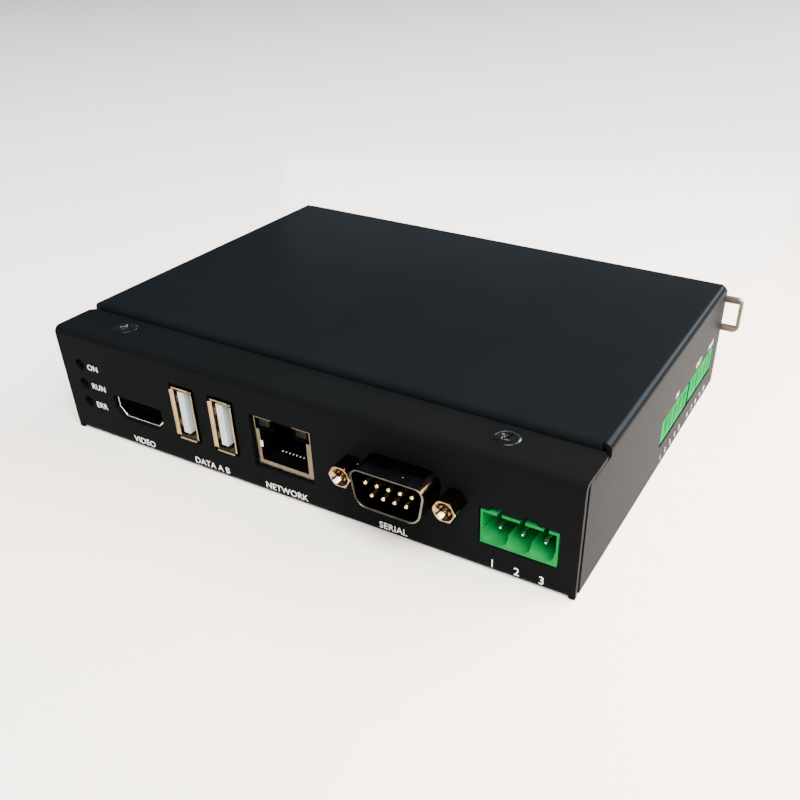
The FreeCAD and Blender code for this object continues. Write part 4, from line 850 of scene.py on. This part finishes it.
# %% Network screen
SCREEN_SHEET = 0.35 * MM
BAND_SIDE = 1.5 * MM
BAND_LOW = 1.6 * MM
BAND_LAMP = 0.5 * MM
BAND_TOP = 0.4 * MM
LAMP_ROW = 3.4 * MM
NOTCH_HALF = 2.8 * MM
NOTCH_DEEP = 1.2 * MM
jack_low, jack_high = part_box("network_jack_shield")
jack_x = middle("network_jack_shield").x
lamp_z = jack_high.z - LAMP_ROW
sheet = Vector((1, 1, 1)) * SCREEN_SHEET
screen = add_block("network_screen_folded", jack_low, jack_high)
carve(screen, add_block("inside", jack_low + sheet - Vector((0, 0, MM)), jack_high - sheet))
windows = (
    (jack_low.x + BAND_SIDE, jack_low.z + BAND_LOW, jack_high.x - BAND_SIDE, lamp_z + OVERLAP),
    (jack_low.x + BAND_LAMP, lamp_z, jack_high.x - BAND_LAMP, jack_high.z - BAND_TOP),
    (jack_x - NOTCH_HALF, jack_high.z - NOTCH_DEEP, jack_x + NOTCH_HALF, jack_high.z + MM),
)
for left, bottom, right, top in windows:
    cutter = add_block("window", (left, jack_low.y - MM, bottom), (right, jack_low.y + MM / 2, top))
    carve(screen, cutter)
soften(screen, EDGE_SOFT)
fit(screen, jack_bronze, ["network_jack_shield"])

# %% [markdown]
# A sprung tab comes in over the window's left edge and earths the plug's screen. Its lip is bright tin as a
# painted highlight, and its arm the darkened socket metal as painted shade. The eight contacts end in round
# noses of bright tin, a painted highlight on contacts that are darkened as painted shade.

# %% Tab and contact noses of the network socket
TAB_REACH = 0.58 * MM
TAB_HALF = 0.8 * MM
TAB_LIFT = 6.0 * MM
TAB_LENGTH = 2.4 * MM
TAB_SHEET = 0.15 * MM
NOSE_R = 0.20 * MM
NOSE_DOME = 0.9 * NOSE_R
NOSE_LENGTH = 0.5 * MM
NOSE_PITCH = 1.02 * MM
NOSE_COUNT = 8
tab_z = jack_low.z + TAB_LIFT
lip = add_block("network_tab_lip", (-TAB_SHEET, -EDGE_SOFT, -TAB_HALF), (TAB_REACH, TAB_SHEET, TAB_HALF))
arm = add_block("network_tab_arm", (TAB_REACH - TAB_SHEET, 0, -TAB_HALF), (TAB_REACH, TAB_LENGTH, TAB_HALF))
# Lit and shaded copies of one sheet: bright tin as painted highlight on the lip, dark metal as painted shade
# on the arm.
for piece, finish in ((lip, spring_tin), (arm, socket_painted_shade)):
    soften(piece, EDGE_SOFT)
    stand_at(piece, (jack_low.x + BAND_SIDE, jack_low.y, tab_z))
    fit(piece, finish)

low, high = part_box("network_jack_contacts")
centre_x = (low.x + high.x) / 2
nose = add_rod("nose", NOSE_R, NOSE_LENGTH, 20)
round_end(nose, NOSE_LENGTH, NOSE_DOME)
spots = [((centre_x + x, low.y, low.z + NOSE_R), FACE_FRONT) for x in row(NOSE_COUNT, NOSE_PITCH)]
# The noses' bright tin is a painted highlight at the ends of the darkened contacts.
fit(repeated(nose, "network_contact_noses", spots), spring_tin)

# %% [markdown]
# The network lamps are small tinted windows. An inset face pushed in a little gives each its frame.

# %% Network lamps
LAMP_FRAME = 0.35 * MM
LAMP_SINK = 0.15 * MM


def lamp_window(node):
    """Window of a lamp's size with a sunk pane."""
    low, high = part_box(node)
    window = add_block(node + "_window", low, high)
    pick_faces(window, faces_front)
    bpy.ops.mesh.inset(thickness=LAMP_FRAME)
    bpy.ops.transform.translate(value=(0, LAMP_SINK, 0))
    close_piece()
    soften(window, EDGE_SOFT)
    return window


fit(lamp_window("network_link_lamp"), lamp_green, ["network_link_lamp"])
fit(lamp_window("network_traffic_lamp"), lamp_yellow, ["network_traffic_lamp"])

# %% [markdown]
# Each light pipe is a clear rod that turns down to its lamp on the board. The corner is cut at 45 degrees and
# works as a mirror. A block turned by that angle makes the cut.

# %% Light pipes
PIPE_R = 1.35 * MM
PIPE_SIDES = 32
MIRROR_TILT = turned(-45, "X")


def light_pipe(node):
    """Smooth rod of a pipe's size with a mirror cut at its corner."""
    low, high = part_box(node)
    x = (low.x + high.x) / 2
    pipe = add_rod(node + "_rod", PIPE_R, high.y - low.y, PIPE_SIDES)
    stand_at(pipe, (x, high.y, high.z - PIPE_R), FACE_FRONT)
    drop = stand_at(add_rod("drop", PIPE_R, high.z - low.z, PIPE_SIDES), (x, high.y - PIPE_R, low.z))
    carve(pipe, drop, "UNION")
    wedge = add_block("wedge", (-2 * PIPE_R, -4 * PIPE_R, 0), (2 * PIPE_R, 4 * PIPE_R, 4 * PIPE_R))
    carve(pipe, stand_at(wedge, (x, high.y - PIPE_R, high.z - PIPE_R), MIRROR_TILT))
    soften(pipe, 2 * EDGE_SOFT)
    return pipe


for number in (1, 2, 3):
    node = f"status_light_pipe_{number}"
    fit(light_pipe(node), smoked_clear, [node])

# %% [markdown]
# The latch's spring is a wire circle swept by the Screw modifier, with an even pitch. On the real box it
# shortens against the channel's tab as the latch is pulled, so it squashes towards that end; this coil does
# not.

# %% Latch spring
WIRE_R = 0.3 * MM
SPRING_TURNS = 5
SPRING_STEPS = 32
TO_RIGHT = turned(90, "Y")
low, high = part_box("latch_spring")
spring_length = high.x - low.x
spring_r = (high.z - low.z) / 2 - WIRE_R
pitch = (spring_length - 2 * WIRE_R) / SPRING_TURNS
coil = wound("latch_spring_coil", 12, WIRE_R, (spring_r, 0, WIRE_R), pitch, SPRING_TURNS, SPRING_STEPS)
stand_at(coil, (low.x, middle("latch_spring").y, middle("latch_spring").z), TO_RIGHT)
fit(coil, fastener_zinc, ["latch_spring"])
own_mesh(coil)

# %% [markdown]
# The terminal headers are green mouldings with a round-bottomed well for each pole. A block is carved well by
# well. A second cutter, wider in front, flares each mouth, so the ridges start behind the front face.

# %% Terminal headers
HEADER_WALL = 0.6 * MM
HEADER_BACK = 2.2 * MM
HEADER_EDGE = 0.09 * MM
FLARE_DEPTH = 1.6 * MM
FLARE_DROP = 0.7
WELL_ROUND = 0.98
MOUTH_SHARE = 0.99


def well_cutter(x, half, top, near, far):
    """Block with a round bottom, which cuts one well from near to far."""
    cutter = add_block("well", (x - half, near, HEADER_WALL), (x + half, far, top))
    length, bottom = far - near, HEADER_WALL + half / 2
    bevel_edges(cutter, lambda a, b: abs(a.y - b.y) > length / 2 and max(a.z, b.z) < bottom,
                half * WELL_ROUND, 10)
    return cutter


def header_block(name, size, poles, pitch, ridge, flare, top, cavity=None):
    """Header with its mouth at y = 0, standing on z = 0, and the places of its poles."""
    length, depth, height = size
    block = add_block(name, (-length / 2, 0, 0), (length / 2, depth, height))
    if cavity:
        carve(block, add_block("cavity", *cavity))
    half = (pitch - ridge) / 2
    places = row(poles, pitch)
    for x in places:
        carve(block, well_cutter(x, half, top, -MM, depth - HEADER_BACK))
        mouth = well_cutter(x, half * MOUTH_SHARE, top * MOUTH_SHARE, -SLIVER, FLARE_DEPTH)
        pick_faces(mouth, faces_front)
        bpy.ops.transform.resize(value=(1 + flare / half, 1, 1))
        bpy.ops.transform.translate(value=(0, 0, -flare * FLARE_DROP))
        close_piece()
        carve(block, mouth)
    return block, places


print("header walls:", round(HEADER_WALL / MM, 2), "mm")

# %% [markdown]
# Above the supply header's wells one cavity runs from end to end. Its top wall is open over each pin, and two
# ribs stand on it, so that only the right plug goes in.

# %% Supply header
SUPPLY_PITCH = 5.08 * MM
SUPPLY_RIDGE = 0.3 * MM
SUPPLY_FLARE = 0.36 * MM
SUPPLY_END = 0.5 * MM
SUPPLY_HEIGHT = 8.4 * MM
SUPPLY_WELL_TOP = 6 * MM
CAVITY_STEP = MM / 5
KEY_HALF = 0.55 * MM
KEY_SHIFT = 0.7 * MM
KEY_DEPTH = 3.0 * MM
RIB_HALF = 1.4 * MM
RIB_SETBACK = 2.0 * MM
RIB_PLACES = (-SUPPLY_PITCH, 1.6 * MM)
low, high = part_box("power_header")
supply_size = (high.x - low.x, high.y - low.y, SUPPLY_HEIGHT)
ceiling = SUPPLY_HEIGHT - HEADER_WALL
reach = supply_size[0] / 2 - SUPPLY_END
end = supply_size[1] - HEADER_BACK
cavity = (-reach, -2 * MM, SUPPLY_PITCH / 2 + HEADER_WALL), (reach, end - CAVITY_STEP, ceiling)
supply, poles = header_block("supply_header_moulded", supply_size, 3, SUPPLY_PITCH, SUPPLY_RIDGE,
                             SUPPLY_FLARE, SUPPLY_WELL_TOP, cavity)
for x in poles:
    key = (x + KEY_SHIFT - KEY_HALF, -MM, ceiling - MM), (x + KEY_SHIFT + KEY_HALF, KEY_DEPTH, high.z)
    carve(supply, add_block("key", *key))
for x in RIB_PLACES:
    rib = (x - RIB_HALF, RIB_SETBACK, ceiling + HEADER_WALL / 2), (x + RIB_HALF, end - MM, high.z - low.z)
    carve(supply, add_block("rib", *rib), "UNION")
soften(supply, HEADER_EDGE)
stand_at(supply, ((low.x + high.x) / 2, low.y, low.z))
fit(supply, supply_green, ["power_header"])

# %% [markdown]
# The supply pins are square wire with a drawn point, bent down to the board. The point is the end face,
# pulled out and made smaller.

# %% Supply pins
WIRE_SIDE = 1.0 * MM
POINT_LENGTH = 0.8 * MM
POINT_SHARE = 0.4
low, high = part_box("power_pins")
supply_pins = []
for x in poles:
    x += (low.x + high.x) / 2
    left, bend = x - WIRE_SIDE / 2, (x + WIRE_SIDE / 2, high.y, high.z)
    pin = add_block("pin", (left, low.y + POINT_LENGTH, high.z - WIRE_SIDE), bend)
    pick_faces(pin, faces_front)
    bpy.ops.mesh.extrude_region_move(TRANSFORM_OT_translate={"value": (0, -POINT_LENGTH, 0)})
    bpy.ops.transform.resize(value=(POINT_SHARE, 1, POINT_SHARE))
    close_piece()
    carve(pin, add_block("leg", (left, high.y - WIRE_SIDE, low.z), bend), "UNION")
    soften(pin, EDGE_SOFT)
    supply_pins.append(pin)
fit(joined(supply_pins, "supply_pins_pointed"), pin_tin, ["power_pins"])

# %% [markdown]
# The two signal headers face the side and stand end to end. Each gets a thicker wall at the end where they
# meet. A black strip fills the narrow gap between them and runs on below both as a sill: a painted shadow,
# a dark piece where there is only shade. The headers' lower front edges are cut away to make room for it.

# %% Signal headers
SIGNAL_PITCH = 3.81 * MM
SIGNAL_RIDGE = 1.7 * MM
SIGNAL_FLARE = 0.15 * MM
SIGNAL_KEY_HALF = 0.9 * MM
SIGNAL_KEY_DEEP = 0.3 * MM
MEETING_WALL = 0.10 * MM
SHADOW_SILL_HEIGHT = 0.40 * MM
SHADOW_SILL_DEPTH = 2.0 * MM
FACE_SIDE = turned(90, "Z")
for node, side in (("io_header_front", 1), ("io_header_rear", -1)):
    low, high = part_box(node)
    length, depth, height = high.y - low.y, high.x - low.x, high.z - low.z
    signal, poles = header_block(node + "_moulded", (length, depth, height), 5, SIGNAL_PITCH, SIGNAL_RIDGE,
                                 SIGNAL_FLARE, height - HEADER_WALL)
    key_top = height - HEADER_WALL + SIGNAL_KEY_DEEP
    for x in poles:
        carve(signal, add_block("key", (x - SIGNAL_KEY_HALF, -MM, height / 2),
                                (x + SIGNAL_KEY_HALF, depth - HEADER_BACK, key_top)))
    ends = sorted((side * (length / 2 - OVERLAP), side * (length / 2 + MEETING_WALL)))
    carve(signal, add_block("end", (ends[0], 0, 0), (ends[1], depth, height)), "UNION")
    # Cut away the lower front edge to make room for the black sill, a painted shadow.
    carve(signal, add_block("shadow_sill", (-length, -MM, -MM), (length, SHADOW_SILL_DEPTH, SHADOW_SILL_HEIGHT)))
    soften(signal, HEADER_EDGE)
    stand_at(signal, (high.x, (low.y + high.y) / 2, low.z), FACE_SIDE)
    fit(signal, signal_green, [node])
front_low, front_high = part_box("io_header_front")
gap_low, gap_high = front_high.y + MEETING_WALL, low.y - MEETING_WALL
# Painted shadow: a black strip in the gap between the headers and as a sill below them.
strip = add_block("signal_gap_painted_shadow", (low.x, gap_low, low.z), (high.x - HEADER_EDGE, gap_high, high.z))
shadow_sill = (high.x - SHADOW_SILL_DEPTH, front_low.y, low.z), (high.x - HEADER_EDGE, high.y, low.z + SHADOW_SILL_HEIGHT)
carve(strip, add_block("shadow_sill", *shadow_sill), "UNION")
soften(strip, HEADER_EDGE / 2)
fit(strip, insert_black)

# %% [markdown]
# The words beside the sockets are screen printed, a film of paint a few hundredths of a millimetre thick.
# A text object gives clean letters. It becomes a mesh before it is laid on the panel.

# %% Screen printing
PRINT_FILM = 0.03 * MM
CAP_SHARE = 0.7
LETTER_STEPS = 3
LABEL_Z = 2.3 * MM


def printed_word(words, height, align="CENTER", stroke=0.0):
    """Word as a thin mesh in the XY plane, its middle height at the origin."""
    bpy.ops.object.text_add(location=(0, 0, 0))
    set_all(bpy.context.object.data, body=words, size=height / CAP_SHARE, offset=stroke * height,
            align_x=align, align_y="CENTER", extrude=PRINT_FILM / 2, resolution_u=LETTER_STEPS)
    bpy.ops.object.convert(target="MESH")
    word = bpy.context.object
    pick_faces(word, any_face)
    bpy.ops.mesh.remove_doubles(threshold=PRINT_FILM / 10)
    close_piece()
    return word


print("print film:", round(PRINT_FILM / MM, 3), "mm")

# %% [markdown]
# The front has a word at each lamp and socket and a number at each supply terminal. The lamps' words get a
# slightly thinner stroke.

# %% Words on the front
FINE_STROKE = -0.006
LAMP_WORD = 1.6 * MM
LAMP_SPACE = 1.0 * MM
SOCKET_WORD = 1.7 * MM
SERIAL_SHIFT = 3 * MM
POLE_NUMBER = 2.0 * MM


def front_word(words, height, x, z, align="CENTER", stroke=0.0):
    return stand_at(printed_word(words, height, align, stroke), (x, PANEL_FACE, z), FACE_FRONT)


front_words = []
for label, pipe in (("ON", 3), ("RUN", 2), ("ERR", 1)):
    low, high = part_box(f"status_light_pipe_{pipe}")
    word = front_word(label, LAMP_WORD, high.x + LAMP_SPACE, high.z - PIPE_R, "LEFT", FINE_STROKE)
    front_words.append(word)
data_x = (middle("data_port_a_shell").x + middle("data_port_b_shell").x) / 2
for label, x in (("VIDEO", middle("video_port_shell").x), ("DATA A B", data_x),
                 ("NETWORK", middle("network_jack_shield").x), ("SERIAL", SERIAL.x - SERIAL_SHIFT)):
    front_words.append(front_word(label, SOCKET_WORD, x, LABEL_Z))
low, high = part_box("power_pins")
for label, share in (("1", 0), ("2", 0.5), ("3", 1)):
    front_words.append(front_word(label, POLE_NUMBER, low.x + share * (high.x - low.x), LABEL_Z))
fit(joined(front_words, "front_print"), print_white)

# %% [markdown]
# The side has numbers below its ten terminals and a word above each group of them.

# %% Words on the side
SIDE_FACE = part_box("cover")[1].x
SIDE_NUMBER = 1.5 * MM
SIDE_WORD = 1.6 * MM
SIDE_RISE = 2.2 * MM


def side_word(words, height, y, z):
    return stand_at(printed_word(words, height), (SIDE_FACE, y, z), FACE_RIGHT)


side_words = []
for node, first in (("io_pins_front", 1), ("io_pins_rear", 6)):
    low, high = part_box(node)
    for k in range(5):
        y = low.y + (high.y - low.y) * k / 4
        side_words.append(side_word(str(first + k), SIDE_NUMBER, y, LABEL_Z))
for label, node, share in (("IN", "io_header_front", 0.5), ("OUT", "io_header_rear", 0.3),
                           ("AUX", "io_header_rear", 0.85)):
    low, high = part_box(node)
    y = low.y + share * (high.y - low.y)
    side_words.append(side_word(label, SIDE_WORD, y, high.z + SIDE_RISE))
fit(joined(side_words, "side_print"), print_white)

# %% [markdown]
# A large pale floor fills the picture behind the box. It is a little glossy, so the box stands on a faint
# mirror of itself.

# %% Floor
FLOOR_HALF = 3.0
FLOOR_CLOUD = 0.4
bpy.ops.mesh.primitive_plane_add(size=2 * FLOOR_HALF, location=(0, 0, 0))
floor = name_new("floor")
floor_finish, floor_tree, floor_shader = start_finish("pale_floor", Specular_IOR_Level=0.8)
floor_cloud = grain(floor_tree, object_place(floor_tree), FLOOR_CLOUD, 2.0)
shade_between(floor_tree, floor_cloud, (0.90, 0.90, 0.90), (0.92, 0.92, 0.92), floor_shader)
rough_between(floor_tree, floor_cloud, 0.08, 0.11, floor_shader)
floor.data.materials.append(floor_finish)
print("floor:", 2 * FLOOR_HALF, "m")

# %% [markdown]
# Soft lights stand above the floor. A glossy black coat shows mostly what it mirrors, so the lights are
# placed by the direction that each face reflects. A weak warm one beside the box tints its right side.

# %% Lights
SKY_COLOUR = (0.80, 0.86, 1.0, 1)
SKY_STRENGTH = 0.20
world = bpy.data.worlds.new("studio")
bpy.context.scene.world = world
world.use_nodes = True
sky = world.node_tree.nodes["Background"].inputs
sky["Color"].default_value = SKY_COLOUR
sky["Strength"].default_value = SKY_STRENGTH


def soft_light(name, place, aim, size, power, colour):
    """Rectangular light at a place, aimed at a point."""
    data = bpy.data.lights.new(name, "AREA")
    set_all(data, shape="RECTANGLE", size=size[0], size_y=size[1], energy=power, color=colour)
    light = bpy.data.objects.new(name, data)
    bpy.context.scene.collection.objects.link(light)
    light.location = place
    light.rotation_euler = (Vector(aim) - Vector(place)).to_track_quat("-Z", "Y").to_euler()


soft_light("key", (0.75, -0.85, 1.15), (0, 0, 0), (1.2, 1.2), 70.0, (1.0, 0.90, 0.77))
soft_light("overhead", (0.45, -0.50, 1.40), (0, 0, 0), (1.0, 1.0), 72.0, (1.0, 0.92, 0.82))
soft_light("bend", (0.66, 1.16, 0.74), (0.06, 0.0, 0.03), (0.9, 0.8), 72.0, (0.72, 0.86, 1.0))
soft_light("rear", (-0.50, 1.24, 0.42), (0.0, 0.0, 0.03), (0.9, 0.22), 1.5, (0.80, 0.90, 1.0))
soft_light("side", (0.25, 0.05, 0.16), (0.12, 0.01, 0), (0.14, 0.14), 3.5, (1.0, 0.60, 0.28))

# %% [markdown]
# The camera has the photograph's angle: 28 degrees to the right of the front and 34 degrees above the floor.
# The shift keeps the box off the picture's middle without turning the camera.

# %% Camera
PICTURE = 800
FOCAL_PIXELS = 874.17
CENTRE_PIXEL = (459.72, 465.32)
CAMERA_TURN = math.radians(27.9)
CAMERA_RISE = math.radians(34.4)
CAMERA_ROLL = math.radians(0.49)
CAMERA_TARGET = Vector((0, 3, 16)) * MM
CAMERA_OFFSET = Vector((12.09, -31.91, 233.81)) * MM
SENSOR = 36.0
CLIP_START = 0.01

level = math.cos(CAMERA_RISE)
back = Vector((math.sin(CAMERA_TURN) * level, -math.cos(CAMERA_TURN) * level, math.sin(CAMERA_RISE)))
right = Vector((math.cos(CAMERA_TURN), math.sin(CAMERA_TURN), 0))
axes = Matrix((right, back.cross(right), back)).transposed() @ Matrix.Rotation(CAMERA_ROLL, 3, "Z")
camera_data = bpy.data.cameras.new("camera")
set_all(camera_data, sensor_width=SENSOR, lens=FOCAL_PIXELS / PICTURE * SENSOR, clip_start=CLIP_START,
        shift_x=(PICTURE / 2 - CENTRE_PIXEL[0]) / PICTURE, shift_y=(CENTRE_PIXEL[1] - PICTURE / 2) / PICTURE)
camera = bpy.data.objects.new("camera", camera_data)
bpy.context.scene.collection.objects.link(camera)
camera.matrix_world = Matrix.Translation(CAMERA_TARGET + axes @ CAMERA_OFFSET) @ axes.to_4x4()
bpy.context.scene.camera = camera
print("camera at", [round(v, 3) for v in camera.matrix_world.translation])
